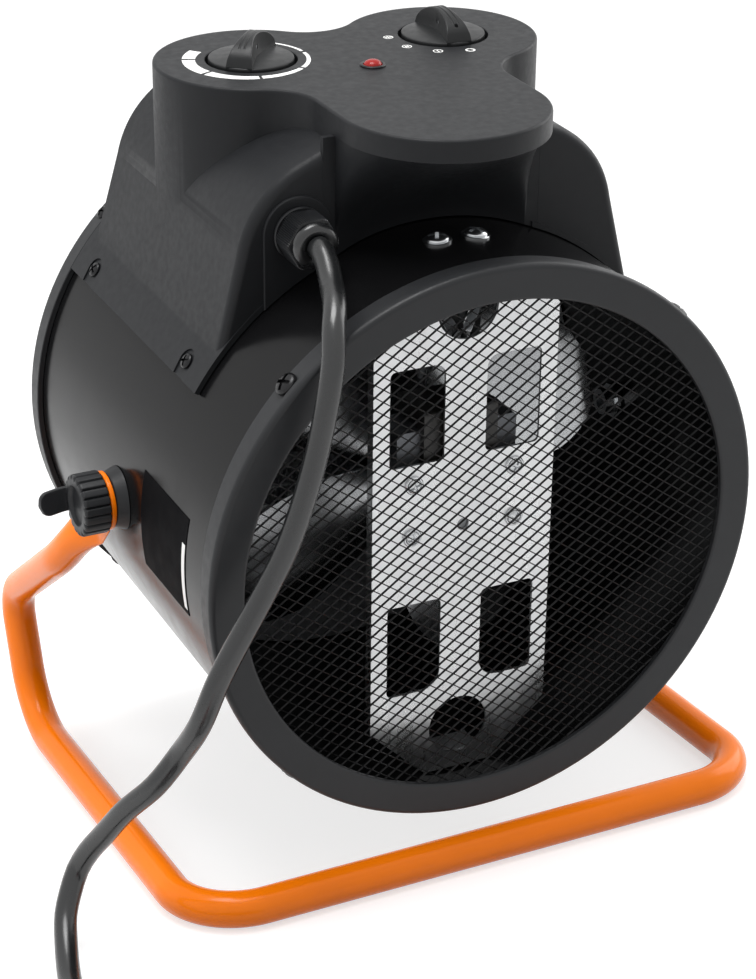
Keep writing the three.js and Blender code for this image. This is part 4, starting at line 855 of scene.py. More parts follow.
@dataclass
class Studio:
    """The floor, the lights and the camera that match the photograph."""

    lens: float = 94.74
    camera_place: Triple = (0.5179, 1.1255, 0.6570)
    camera_turn: Triple = (68.0109, 1.7407, 154.5366)
    lens_clip: float = 50.0
    floor_size: float = 12.0
    floor_albedo: float = 0.5
    floor_glow: float = 0.62
    key_power: float = 20.0
    key_size: float = 0.9
    key_place: Triple = (0.2, 0.1, 1.9)
    side_power: float = 11.0
    side_size: float = 1.2
    left_place: Triple = (1.6, -0.4, 0.9)
    right_place: Triple = (-1.5, -0.2, 0.9)
    sky_even: float = 0.55
    sky_slope: Triple = (0.0, -0.22, 0.3)
    sky_least: float = 0.05
    middle: Triple = (0.0, 0.0, 0.22)

    def camera(self) -> None:
        """Sets the camera."""
        data = bpy.data.cameras.new("camera")
        data.lens = self.lens
        data.sensor_width = 36.0
        data.clip_end = self.lens_clip
        camera = linked("camera", data)
        camera.location = self.camera_place
        camera.rotation_euler = [math.radians(angle) for angle in self.camera_turn]
        bpy.context.scene.camera = camera

    def lamp(self, name: str, power: float, size: float, place: Triple, mirrored: bool) -> None:
        """Adds a soft square lamp that points at the object.

        Args:
            name: its name.
            power: watts.
            size: its side in metres.
            place: where it stands.
            mirrored: whether gloss shows it.
        """
        data = bpy.data.lights.new(name, "AREA")
        data.shape = "SQUARE"
        data.size = size
        data.energy = power
        lamp = linked(name, data)
        lamp.location = place
        aim = Vector(self.middle) - Vector(place)
        lamp.rotation_euler = aim.to_track_quat("-Z", "Y").to_euler()
        lamp.visible_glossy = mirrored

    def world(self) -> None:
        """Lights the object softly, most from above, and shows white to all but diffuse rays."""
        world = bpy.data.worlds.new("studio")
        bpy.context.scene.world = world
        world.use_nodes = True
        tree = world.node_tree
        tree.nodes.clear()
        ahead = add_node(tree, "TexCoord").outputs["Generated"]
        slope = add_node(tree, "VectorMath", {0: ahead, 1: self.sky_slope}, "DOT_PRODUCT")
        even = add_node(tree, "Math", {0: slope.outputs["Value"], 1: self.sky_even}, "ADD")
        least = add_node(tree, "Math", {0: even, 1: self.sky_least}, "MAXIMUM")
        soft = add_node(tree, "Background", {"Color": WHITE, "Strength": least})
        seen = add_node(tree, "Background", {"Color": WHITE})
        mix = add_node(tree, "MixShader", {"Fac": self.seen_rays(tree), 1: soft, 2: seen})
        add_node(tree, "OutputWorld", {"Surface": mix})

    @staticmethod
    def seen_rays(tree: Tree) -> Socket:
        """A socket that is one for camera, glossy and transmission rays and zero for others.

        Args:
            tree: the nodes that it joins.

        Returns:
            The socket.
        """
        path = add_node(tree, "LightPath")
        value = path.outputs["Is Camera Ray"]
        for ray in ("Is Glossy Ray", "Is Transmission Ray"):
            value = add_node(tree, "Math", {0: value, 1: path.outputs[ray]}, "MAXIMUM").outputs[0]
        return value

    def floor(self) -> None:
        """Lays the pale floor, which keeps the object's soft shadow."""
        half = self.floor_size / 2
        mesh = bpy.data.meshes.new("floor")
        mesh.from_pydata(
            [(-half, -half, 0.0), (half, -half, 0.0), (half, half, 0.0), (-half, half, 0.0)],
            [], [(0, 1, 2, 3)],
        )
        floor = linked("floor", mesh)
        material = bpy.data.materials.new("floor_pale")
        material.use_nodes = True
        tree = material.node_tree
        shader = tree.nodes["Principled BSDF"]
        shader.inputs["Base Color"].default_value = (*[self.floor_albedo] * 3, 1.0)
        shader.inputs["Roughness"].default_value = 0.9
        shader.inputs["Specular IOR Level"].default_value = 0.1
        strength = add_node(tree, "Math", {0: self.seen_rays(tree), 1: self.floor_glow}, "MULTIPLY")
        glow = add_node(tree, "Emission", {"Color": WHITE, "Strength": strength})
        both = add_node(tree, "AddShader", {0: shader, 1: glow})
        tree.links.new(both.outputs["Shader"], tree.nodes["Material Output"].inputs["Surface"])
        floor.data.materials.append(material)

    def lights(self) -> None:
        """Sets the three soft lamps."""
        self.lamp("key", self.key_power, self.key_size, self.key_place, True)
        self.lamp("side_left", self.side_power, self.side_size, self.left_place, False)
        self.lamp("side_right", self.side_power, self.side_size, self.right_place, True)

    def build(self) -> None:
        """Makes the whole studio."""
        self.camera()
        self.world()
        self.floor()
        self.lights()
        bpy.context.scene.view_settings.view_transform = "Standard"


@dataclass
class SupplyCable:
    """The supply cable from the gland to the plug, with its coil, as one length."""

    radius: float = 5.5
    route: Sequence[Triple] = (
        (69.5, 93.1, 323.2), (69.5, 97.1, 322.8), (70.5, 104.1, 319), (74, 116.6, 312),
        (79, 130.2, 307.2), (84.5, 140.5, 298.7), (88, 146.2, 285.1), (99, 148.6, 245.8),
        (114, 149.1, 208), (124.5, 147.3, 188.1), (149, 146.8, 150), (159.3, 143.3, 126),
        (165.2, 132, 108), (176.1, 126.2, 92), (187.6, 113, 75), (194.7, 102.5, 60),
        (200.8, 94.5, 48), (205.8, 91.1, 38), (211.9, 95, 28), (216.2, 100.1, 21),
        (220.2, 110.1, 14), (226, 130, 6.5), (233, 165, 5.8), (241, 205, 5.8), (247, 245, 5.8),
    )
    landing: Triple = (200.8, 94.5, 48)
    ground: float = 5.8
    coil_centre: Pair = (182.0, 280.0)
    coil_radius: float = 67.3
    coil_pitch: float = 11.6
    coil_lift: float = 11.5
    coil_turns: float = 2.75
    coil_climb: float = 0.5
    coil_steps: int = 72
    coil_lead: float = 11.0
    tail_bend: float = 45.0
    tail_steps: int = 16
    spacing: float = 5.0
    sides: int = 20

    def coil(self) -> list[Vector]:
        """The coil's centre line: in on the surface, up, and out on top.

        Returns:
            Points along it.
        """
        centre_x, centre_y = self.coil_centre
        total = round(self.coil_turns * self.coil_steps)
        line = [Vector((centre_x + self.coil_radius, centre_y - self.coil_lead, self.ground))]
        for i in range(total + 1):
            turn = i / self.coil_steps
            inward = self.coil_turns / 2 - abs(turn - self.coil_turns / 2)
            climb = min(1.0, max(0.0, (turn - self.coil_turns / 2) / self.coil_climb + 0.5))
            radius = self.coil_radius - self.coil_pitch * inward
            angle = 2 * math.pi * turn
            line.append(Vector((
                centre_x + radius * math.cos(angle), centre_y + radius * math.sin(angle),
                self.ground + self.coil_lift * climb,
            )))
        line.append(line[-1] + Vector((self.coil_lead, 0.0, 0.0)))
        return line

    def tail(self, start: Vector, end: Vector, axis: Vector) -> list[Vector]:
        """The bend from the coil round to the plug's nut.

        Args:
            start: where the coil ends.
            end: where the cable meets the nut.
            axis: the plug's direction.

        Returns:
            Points along the bend.
        """
        square = end - axis * (2 * self.radius)
        centre = Vector((end.x - self.tail_bend, start.y + self.tail_bend, 0.0))
        line = []
        for i in range(1, self.tail_steps + 1):
            share = i / self.tail_steps
            angle = math.pi / 2 * (share - 1)
            line.append(Vector((
                centre.x + self.tail_bend * math.cos(angle),
                centre.y + self.tail_bend * math.sin(angle),
                start.z + (square.z - start.z) * share * share,
            )))
        return [*line, end]

    def build(self, plug: "Plug") -> None:
        """Args:
            plug: the plug at its far end.
        """
        coil = self.coil()
        place, axis = plug.place(self, coil[-1]), plug.axis()
        run = smooth_curve([Vector(point) for point in self.route[1:]] + [coil[0]], self.spacing)
        line = [Vector(self.route[0]), *run, *coil[1:], *self.tail(coil[-1], place, axis)]
        form = tube(line, self.radius, self.sides)
        cable = piece(
            "supply_cable", form, CABLE_JACKET, None, CORD_PLACE,
            ("cable_run", "cable_coil", "cable_tail"), 60.0,
        )
        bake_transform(cable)
        pieces = plug.build(place)


@dataclass
class Plug:
    """The industrial plug: cable nut, grip, collar, insert and pins."""

    collar: float = 30.0
    collar_length: float = 40.0
    grip: float = 22.0
    grip_length: float = 46.0
    nut: float = 18.5
    nut_length: float = 24.0
    wall: float = 3.0
    insert_depth: float = 8.0
    pin: float = 2.5
    pin_length: float = 30.0
    pin_circle: float = 14.0
    pins: int = 5
    gap: float = 0.3
    margin: float = 2.0
    ribs: int = 10
    rib_depth: float = 0.7
    nut_edges: Pair = (1.2, 0.6)
    cable_bore: float = 7.4
    bore: float = 6.0
    grooves: int = 5
    groove_pitch: float = 6.0

    def lean(self) -> float:
        """The plug's lean: its nut and its collar both touch the surface."""
        return math.atan((self.collar - self.nut) / (self.nut_length + self.grip_length + self.margin))

    def axis(self) -> Vector:
        """The direction from the nut to the pins."""
        return Vector((0.0, math.cos(self.lean()), math.sin(self.lean())))

    def place(self, cable: SupplyCable, coil_end: Vector) -> Vector:
        """The middle of the back of the nut.

        Args:
            cable: the supply cable.
            coil_end: where the coil ends.

        Returns:
            The point in the cord's frame.
        """
        lean = self.lean()
        return Vector((
            cable.coil_centre[0] + cable.coil_radius + cable.radius + self.collar + self.margin,
            coil_end.y + cable.tail_bend + (2 * cable.radius + self.gap) * math.cos(lean),
            self.nut * math.cos(lean) + self.gap,
        ))

    def nut_form(self) -> Form:
        """The ribbed nut at the back of the plug.

        Returns:
            The nut.
        """
        outline = polar(
            lambda angle: self.nut - self.rib_depth * max(0.0, math.cos(self.ribs * angle)) ** 6, 120,
        )
        body = Workpiece(plate(outline, 0.0, self.nut_length, Axis.Y, (), *self.nut_edges))
        narrow, past = self.cable_bore - 1.8, self.nut_length + 6
        body.cut(turned([
            (0, -4), (self.cable_bore, -4), (self.cable_bore, 0), (narrow, 3), (narrow, past), (0, past),
        ], Axis.Y, 40))
        return body.form()

    def body_form(self) -> Form:
        """The grip and the collar, with finger grooves.

        Returns:
            The shell of the plug.
        """
        grip = self.nut_length + self.gap
        collar = grip + self.grip_length
        end = collar + self.collar_length - self.gap
        inner = self.collar - self.wall
        profile = [
            (self.bore, grip), (self.grip - 2, grip), (self.grip - 0.6, grip + 0.6),
            (self.grip, grip + 2),
        ]
        for i in range(self.grooves):
            start = grip + 8 + self.groove_pitch * i
            profile += [(self.grip, start), (self.grip - 1, start + 1), (self.grip - 1, start + 2.4),
                        (self.grip, start + 3.4)]
        profile += [
            (self.grip, collar - 4), (self.collar - 2, collar), (self.collar - 0.5, collar + 0.6),
            (self.collar, collar + 2), (self.collar, end - 0.8), (self.collar - 0.8, end),
            (inner + 0.5, end), (inner, end - 0.5), (inner, collar + self.wall),
            (self.bore, collar + self.wall),
        ]
        return turned(profile, Axis.Y, 72)

    def build(self, place: Vector) -> list[bpy.types.Object]:
        """Makes the plug's three pieces.

        Args:
            place: the middle of the back of the nut.

        Returns:
            The pieces.
        """
        matrix = CORD_PLACE @ Matrix.Translation(place) @ Matrix.Rotation(self.lean(), 4, "X")
        base = self.nut_length + self.grip_length + self.wall + 2 * self.gap
        face = base + self.insert_depth
        insert = rod(self.collar - self.wall - self.gap, base, face, Axis.Y, 60, 0.6)
        for i in range(self.pins):
            angle = 2 * math.pi * i / self.pins - math.pi / 2
            radius = self.pin + (0.8 if i == 0 else 0.0)
            pin = rod(radius, face - 1, face + self.pin_length, Axis.Y, 24, 1.0)
            x, z = self.pin_circle * math.cos(angle), self.pin_circle * math.sin(angle)
            well = ring(radius + 0.4, radius + 2.2, face - 1, face + 3, Axis.Y, 28)
            insert.add(pin.at(x, 0, z), well.at(x, 0, z))
        return [
            piece("plug_cable_nut", self.nut_form(), PLUG_BLACK, Body.STAND, matrix, ("plug_nut",)),
            piece("plug_shell", self.body_form(), PLUG_RED, Body.STAND, matrix, ("plug_body",)),
            piece("plug_pins", insert, PLUG_BLACK, Body.STAND, matrix, ("plug_insert",)),
        ]


@dataclass
class Drum:
    """The rolled drum, its two bezels and its two expanded metal nets."""

    radius: float = DRUM_RADIUS
    wall: float = 1.2
    half: float = 121.3
    broken_edge: float = 0.3
    wiring_hole: float = 9.3
    pivot_hole: float = 7.3
    opening: float = 127.0
    outer: float = 144.3
    inner_face: float = 123.3
    face: float = 126.0
    edge: float = 2.8
    lip: Pair = (1.6, 1.1)
    hem: float = 0.4
    rear_rim: float = 5.0
    front_rim: float = 11.9
    skirt_inner: float = 141.5
    skirt_outer: float = 142.6
    skirt_length: float = 11.0
    skirt_flare: float = 1.0
    net_y: float = 122.3
    net_ring: Pair = (128.0, 135.6)
    net_ring_half: float = 0.4
    net_width: float = 8.7
    net_height: float = 6.2
    net_reach: float = 133.0
    strand: float = 0.58
    strand_depth: float = 0.45
    strand_tilt: float = 0.22
    strand_overlap: float = 0.3
    sides: int = 180

    def shell(self) -> Form:
        """The drum with its wiring hole and pivot holes.

        Returns:
            The drum.
        """
        inner, edge = self.radius - self.wall, self.broken_edge
        profile = [
            (inner, -self.half), (self.radius - edge, -self.half), (self.radius, -self.half + edge),
            (self.radius, self.half - edge), (self.radius - edge, self.half), (inner, self.half),
        ]
        body = Workpiece(turned(profile, Axis.Y, self.sides))
        body.cut(
            rod(self.wiring_hole, 0, CLEAR, Axis.Z).at(0, KNOB_Y, 0),
            rod(self.pivot_hole, -CLEAR, CLEAR, Axis.X),
        )
        return body.form()

    def bezel(self, side: int) -> Form:
        """One bezel: lip, face, rim and, at the rear, the skirt that slips over the drum.

        Args:
            side: 1 at the rear, -1 at the front.

        Returns:
            The bezel.
        """
        rim = self.rear_rim if side > 0 else self.front_rim
        back = self.face - rim
        tip, flared = back - self.skirt_length, self.skirt_outer + self.skirt_flare
        skirt = [
            (self.skirt_inner, tip), (self.skirt_outer - 0.2, tip),
            (self.skirt_outer, tip + self.broken_edge), (self.skirt_outer, back - 0.8),
            (flared - self.skirt_flare / 2, back - 0.2), (flared, back),
        ]
        across, deep = self.lip
        profile = [
            (self.opening, self.inner_face), (self.skirt_inner, self.inner_face),
            *(skirt if side > 0 else [(self.skirt_inner, back)]),
            (self.outer - self.hem, back), (self.outer, back + self.hem),
            *quarter((self.outer - self.edge, self.face - self.edge), (self.edge, self.edge), 7),
            *reversed(quarter((self.opening + across, self.face - deep), (-across, deep), 4)),
        ]
        return turned([(radius, side * y) for radius, y in profile], Axis.Y, self.sides)

    def net(self, side: int) -> Form:
        """An expanded metal net of tilted strands.

        Args:
            side: 1 at the rear, -1 at the front.

        Returns:
            The net with a thin ring that the bezel holds.
        """
        middle = side * self.net_y
        form = ring(*self.net_ring, middle - self.net_ring_half, middle + self.net_ring_half, sides=90)
        columns = math.ceil(2 * self.net_reach / self.net_width)
        rows = math.ceil(2 * self.net_reach / self.net_height)
        half_w, half_h = self.net_width / 2, self.net_height / 2
        for i in range(-columns, columns + 1):
            for j in range(-rows, rows + 1):
                if (i + j) % 2 == 0:
                    continue
                start = Vector((i * half_w, 0.0, j * half_h))
                for rise in (1, -1):
                    end = start + Vector((half_w, 0.0, rise * half_h))
                    if max(start.length, end.length) < self.net_reach:
                        form.add(self.strand_form(start, end, rise, side))
        return form

    def strand_form(self, start: Vector, end: Vector, rise: int, side: int) -> Form:
        """One strand between two knuckles, tilted out of the net's plane.

        Args:
            start: one knuckle.
            end: the other.
            rise: 1 where the strand rises and -1 where it falls.
            side: 1 at the rear, -1 at the front.

        Returns:
            The strand as a closed bar.
        """
        ahead = (end - start).normalized()
        up = Vector((-ahead.z, 0.0, ahead.x)) * (self.strand / 2)
        out = Vector((0.0, self.strand_depth / 2, 0.0))
        tilt = Vector((0.0, self.strand_tilt * rise, 0.0))
        shift = Vector((0.0, side * self.net_y, 0.0))
        overlap = ahead * self.strand_overlap
        points = []
        for centre in (start - overlap + shift, end + overlap + shift):
            points += [centre + up + out + tilt, centre - up + out - tilt,
                       centre - up - out - tilt, centre + up - out + tilt]
        return Form(points, BAR_FACES)

    def build(self) -> None:
        """Makes the drum's pieces."""
        piece("drum_skin", self.shell(), DRUM_PAINT, nodes=("drum_shell",))
        piece("bezel_intake", self.bezel(1), BEZEL_PAINT, nodes=("rear_bezel",))
        piece("bezel_outlet", self.bezel(-1), BEZEL_PAINT, nodes=("front_bezel",))
        piece("net_intake", self.net(1), NET_PAINT, nodes=("rear_guard",), crease=20)
        piece("net_outlet", self.net(-1), NET_PAINT, nodes=("front_guard",), crease=20)


@dataclass
class RatingPlate:
    """The bare dark plate on the drum's side, with a pale band along one edge."""

    sunk: float = 0.1
    lift: float = 0.25
    along: Pair = (31.0, 88.0)
    turn: Pair = (-9.0, 11.7)
    band_lift: float = 0.3
    band_along: Pair = (83.6, 87.2)
    band_turn: Pair = (-7.8, 6.2)

    def patch(self, along: Pair, turn: Pair, lift: float) -> Form:
        """A thin curved rectangle on the drum.

        Args:
            along: its ends along the drum.
            turn: its first and last angle in degrees from +X towards +Z.
            lift: how far its outside stands above the drum.

        Returns:
            The closed form.
        """
        first, last = (math.radians(angle) for angle in turn)
        outline = [
            *arc((0, 0), DRUM_RADIUS + lift, first, last, 24),
            *arc((0, 0), DRUM_RADIUS - self.sunk, last, first, 24),
        ]
        return plate(outline, *along, Axis.Y)

    def build(self) -> None:
        """Makes the plate and its band."""
        piece("rating_plate", self.patch(self.along, self.turn, self.lift), PLATE_BLACK)
        band = self.patch(self.band_along, self.band_turn, self.band_lift)
        piece("rating_plate_band", band, PRINT_WHITE)


@dataclass
class Screws:
    """The pan head screws with cross recesses."""

    head: float = 4.1
    sunk: float = 1.0
    brim: float = 0.9
    height: float = 2.5
    slot: float = 1.3
    reach: float = 3.0
    first_turn: float = 0.4
    each_turn: float = 0.7
    washer_hole: float = 2.0
    bezel_corners: Sequence[float] = (45.0, 135.0, 225.0, 315.0)
    intake_y: float = 115.3
    outlet_y: float = -119.0
    outlet_sunk: float = 0.4
    tab_y: float = 77.2
    tab_x: Pair = (-12.0, 8.0)

    def head_form(self, scale: float = 1.0) -> Form:
        """A screw head on the XY plane, pointing up.

        Args:
            scale: size against the usual head.

        Returns:
            The head.
        """
        dome = quarter((0.0, self.brim), (self.head, self.height - self.brim), 6)
        body = Workpiece(turned([(0.0, -self.sunk), (self.head, -self.sunk), *dome], Axis.Z, 28))
        half = self.slot / 2
        bar = block((-self.reach, -half, self.brim), (self.reach, half, 2 * self.height))
        for turn in (0, math.pi / 2):
            body.cut(bar.moved(Matrix.Rotation(turn + self.first_turn, 4, "Z")))
        return body.form().moved(Matrix.Scale(scale, 4))

    def placed(self, spots: Sequence[Spot], scale: float = 1.0,
               washer: float = 0.0) -> Form:
        """Heads at several spots.

        Args:
            spots: a point and an outward direction for each head.
            scale: size against the usual head.
            washer: radius of a washer under each head, or 0.

        Returns:
            All the heads as one form.
        """
        head = self.head_form(scale)
        if washer > 0:
            head.add(turned([
                (self.washer_hole, -0.5), (washer, -0.5), (washer, 0.7), (washer - 0.4, 1.0),
                (self.washer_hole, 1.0),
            ], Axis.Z, 28))
        form = Form()
        for index, (place, out) in enumerate(spots):
            turn = Vector(out).to_track_quat("Z", "Y").to_matrix().to_4x4()
            spin = Matrix.Rotation(self.each_turn * index, 4, "Z")
            form.add(head.moved(Matrix.Translation(place) @ turn @ spin))
        return form

    def build(self, drum: Drum) -> None:
        """Makes the screws of the bezels and of the bracket's tabs.

        Args:
            drum: the drum that they sit on.
        """
        rear = around(drum.skirt_outer, (self.intake_y,), self.bezel_corners)
        front = around(drum.outer - self.outlet_sunk, (self.outlet_y,), self.bezel_corners)
        piece("screws_bezel_intake", self.placed(rear, 1.4), SCREW_BLACK)
        piece("screws_bezel_outlet", self.placed(front, 0.9), SCREW_BLACK)
        top = [
            ((x, self.tab_y, math.sqrt(drum.radius**2 - x**2)), (x / drum.radius, 0.0, 1.0))
            for x in self.tab_x
        ]
        under = [((x, y, -z), (a, b, -c)) for (x, y, z), (a, b, c) in top]
        chrome = self.placed([*top, *under], 1.4, 7.0)
        piece("screws_bracket_tabs", chrome, BRIGHT_STEEL)


@dataclass
class MotorBracket:
    """The bright sheet bracket across the intake and its screws."""

    face: float = 95.2
    thickness: float = 1.5
    half_width: float = 48.6
    half_height: float = 108.0
    tab_half: float = 18.0
    tab_outer: float = 138.1
    tab_length: float = 26.0
    lip: float = 6.0
    lip_short: float = 6.0
    seam: float = 0.01
    hole: float = 16.0
    hole_height: float = 113.4
    shaft_hole: float = 3.2
    window_x: Pair = (11.0, 40.0)
    window_upper: Pair = (36.7, 87.0)
    window_lower: Pair = (-89.0, -38.5)
    fillet: float = 3.0
    upper_fillet: float = 6.0
    lower_fillet: float = 10.0
    screw_spots: Sequence[Pair] = ((27.0, 26.5), (-27.0, 26.5), (27.5, -1.5), (-27.5, -1.5))

    def form(self) -> Form:
        """The sheet with its windows, lips and bent tabs.

        Returns:
            The bracket.
        """
        low, high = self.face - self.thickness, self.face
        outline = [
            (self.tab_half, self.tab_outer), (-self.tab_half, self.tab_outer),
            (-self.half_width, self.half_height), (-self.half_width, -self.half_height),
            (-self.tab_half, -self.tab_outer), (self.tab_half, -self.tab_outer),
            (self.half_width, -self.half_height), (self.half_width, self.half_height),
        ]
        (near, far), (a, b), (c, d) = self.window_x, self.window_upper, self.window_lower
        r, upper, lower = self.fillet, self.upper_fillet, self.lower_fillet
        holes = [
            rounded_box(near, a, far, b, (r, r, r, upper)),
            rounded_box(-far, a, -near, b, (r, r, upper, r)),
            rounded_box(near, c, far, d, (lower, r, r, r)),
            rounded_box(-far, c, -near, d, (r, lower, r, r)),
            circle(self.shaft_hole, 28),
            *[circle(self.hole, 64, (0.0, side * self.hole_height)) for side in (1, -1)],
        ]
        body = Workpiece(plate(outline, low, high, Axis.Y, holes))
        top, reach = high - self.seam, self.half_height - self.lip_short
        for side in (1, -1):
            tab = sorted((side * self.tab_outer, side * (self.tab_outer - self.thickness)))
            lip = sorted((side * self.half_width, side * (self.half_width - self.thickness)))
            body.join(
                block((-self.tab_half, high - self.tab_length, tab[0]), (self.tab_half, top, tab[1])),
                block((lip[0], high - self.lip, -reach), (lip[1], top, reach)),
            )
        return body.form()

    def build(self, screws: Screws) -> None:
        """Makes the bracket and its face screws.

        Args:
            screws: the maker of screw heads.
        """
        piece("bracket_sheet", self.form(), ZINC, nodes=("motor_bracket",), crease=25)
        spots = [((x, self.face + 0.3, z), (0.0, 1.0, 0.0)) for x, z in self.screw_spots]
        piece("screws_bracket_face", screws.placed(spots, 0.95, 4.8), BRIGHT_STEEL)


@dataclass
class MotorAndFan:
    """The motor's own nodes, dressed, the fan wheel and the wires above it."""

    hub: float = 14.0
    hub_length: float = 16.0
    middle: float = 30.0
    radius: float = 110.0
    blades: int = 4
    first_blade: float = 150.0
    thickness: float = 1.2
    tip_depth: float = 15.0
    root_depth: float = 7.0
    root_sunk: float = 2.0
    camber_share: float = 0.5
    width: float = 42.0
    width_shares: Sequence[float] = (0.3, 0.62, 0.9, 1.0, 0.8, 0.36)
    radius_shares: Sequence[float] = (0.0, 0.25, 0.5, 0.75, 0.93, 1.0)
    rows: int = 18
    columns: int = 12
    wire: float = 1.5

    def share_at(self, place: float) -> float:
        """The blade's width share at a share of its length, smooth between the known ones."""
        points = [Vector((r, w, 0.0)) for r, w in zip(self.radius_shares, self.width_shares)]
        return min(smooth_curve(points, 0.02), key=lambda point: abs(point.x - place)).y

    def blade(self, angle: float) -> Form:
        """One pitched and cambered blade.

        Args:
            angle: its direction round the hub in radians.

        Returns:
            The blade as a thick sheet.
        """
        root = self.hub - self.root_sunk
        grid = []
        for i in range(self.rows + 1):
            place = i / self.rows
            share = self.share_at(place)
            radius = root + (self.radius - root) * place
            depth = self.root_depth + (self.tip_depth - self.root_depth) * place
            row = []
            for j in range(self.columns + 1):
                v = 2 * j / self.columns - 1
                turn = angle + self.width * share * v / radius
                camber = self.root_depth * self.camber_share * (1 - v * v)
                row.append(Vector((
                    radius * math.cos(turn), self.middle + depth * v * share + camber,
                    radius * math.sin(turn),
                )))
            grid.append(row)
        return thick_sheet(grid, Vector((0.0, -self.thickness, 0.0)))

    def wheel(self) -> Form:
        """The blades on their hub.

        Returns:
            The fan wheel.
        """
        half = self.hub_length / 2
        wheel = rod(self.hub, self.middle - half, self.middle + half, Axis.Y, 48, 1.0)
        for i in range(self.blades):
            angle = math.radians(self.first_blade - 360 / self.blades * i)
            wheel.add(self.blade(angle))
        return wheel

    def build(self) -> None:
        """Makes the fan and dresses the motor."""
        piece("fan_wheel", self.wheel(), FAN_METAL, Body.FAN, nodes=("fan",), crease=40)
        dress(BRIGHT_STEEL, "motor_rotor", "fan_nut")
        dress(INNER_ZINC, "motor_rear_plate", "motor_front_plate")
        dress(LAMINATIONS, "motor_stator")
        dress(WINDING, "motor_coil")
        dress(RUBBER, "motor_lead", "wire_grommet")
        dress(COPPER, "thermostat_capillary")
        self.wires()

    def wires(self) -> None:
        """The wires and push-on connectors behind the bracket's upper hole."""
        routes = (
            ((-6, -22, 136), (-9, 15, 126), (-6, 52, 118), (2, 74, 106), (10, 78, 92), (12, 70, 70)),
            ((4, -22, 136), (9, 20, 128), (13, 58, 120), (9, 78, 112), (-4, 80, 98), (-10, 72, 74)),
            ((0, -22, 134), (1, 18, 122), (-12, 56, 112), (-16, 74, 100), (-20, 60, 78)),
        )
        for index, (route, finish) in enumerate(zip(routes, (WIRE_GREY, RUBBER, WIRE_GREY))):
            line = smooth_curve([Vector(point) for point in route], 3.0)
            piece(f"wire_{index + 1}", tube(line, self.wire, 12), finish, crease=60)
        tab = block((-3.2, -1.2, -7.0), (3.2, 1.2, 7.0), 0.8)
        tabs = Form()
        for x, y, z, turn in ((4, 79.5, 103, 0.5), (-9, 80, 101, -0.4)):
            tabs.add(tab.moved(Matrix.Translation((x, y, z)) @ Matrix.Rotation(turn, 4, "Y")))
        piece("wire_connectors", tabs, BRIGHT_STEEL)


@dataclass
class HeatingElements:
    """The ceramic bars with their folded foil fins, and what holds them."""

    count: int = 5
    pitch: float = 28.0
    half_width: float = 75.0
    rear: float = -55.3
    depth: float = 26.0
    bar: float = 9.0
    bar_edge: float = 0.6
    fold: float = 1.6
    foil: float = 0.22
    foil_margin: float = 4.0
    foil_gap: float = 0.3
    foil_inset: float = 1.0
    clearance: float = 0.15
    skin: float = 0.6
    skin_margin: float = 3.0
    skin_inset: float = 0.5

    def foil_row(self, low: float, high: float) -> Form:
        """A folded foil ribbon between two heights.

        Args:
            low: its lower edge.
            high: its upper edge.

        Returns:
            The ribbon.
        """
        reach = self.half_width - self.foil_margin
        spots = [
            (self.fold * i - reach, high - self.foil_gap if i % 2 else low + self.foil_gap)
            for i in range(round(2 * reach / self.fold) + 1)
        ]
        half = self.foil / 2
        levels = (self.rear - self.depth + self.foil_inset, self.rear - self.foil_inset)
        form = Form()
        for (x0, z0), (x1, z1) in zip(spots, spots[1:]):
            strip = ((x0 - half, z0), (x0 + half, z0), (x1 + half, z1), (x1 - half, z1))
            form.add(Form([(x, y, z) for y in levels for x, z in strip], BAR_FACES))
        return form

    def element(self, index: int) -> Form:
        """One ceramic bar between two rows of folded foil.

        Args:
            index: its number, counted from below.

        Returns:
            The bar with its foil and skins.
        """
        middle = (index - (self.count - 1) / 2) * self.pitch
        half, reach = self.bar / 2, self.pitch / 2 - self.clearance
        front, inner = self.rear - self.depth, reach - self.skin
        across = self.half_width - self.skin_margin
        bar = block((-self.half_width, front, -half), (self.half_width, self.rear, half), self.bar_edge)
        skins = [
            block((-across, front + self.skin_inset, low), (across, self.rear - self.skin_inset, high))
            for low, high in ((inner, reach), (-reach, -inner))
        ]
        bar.add(*skins, self.foil_row(half, inner), self.foil_row(-inner, -half))
        return bar.at(0, 0, middle)

    def build(self) -> None:
        """Makes the elements and dresses their holders."""
        for index in range(self.count):
            piece(
                f"heating_element_{index + 1}", self.element(index), FIN_METAL,
                nodes=(f"ptc_element_{index + 1}",), crease=20,
            )
        dress(INNER_ZINC, "element_frame", "element_rail_left", "element_rail_right")
        dress(KNOB_PLASTIC, "thermal_cutout")


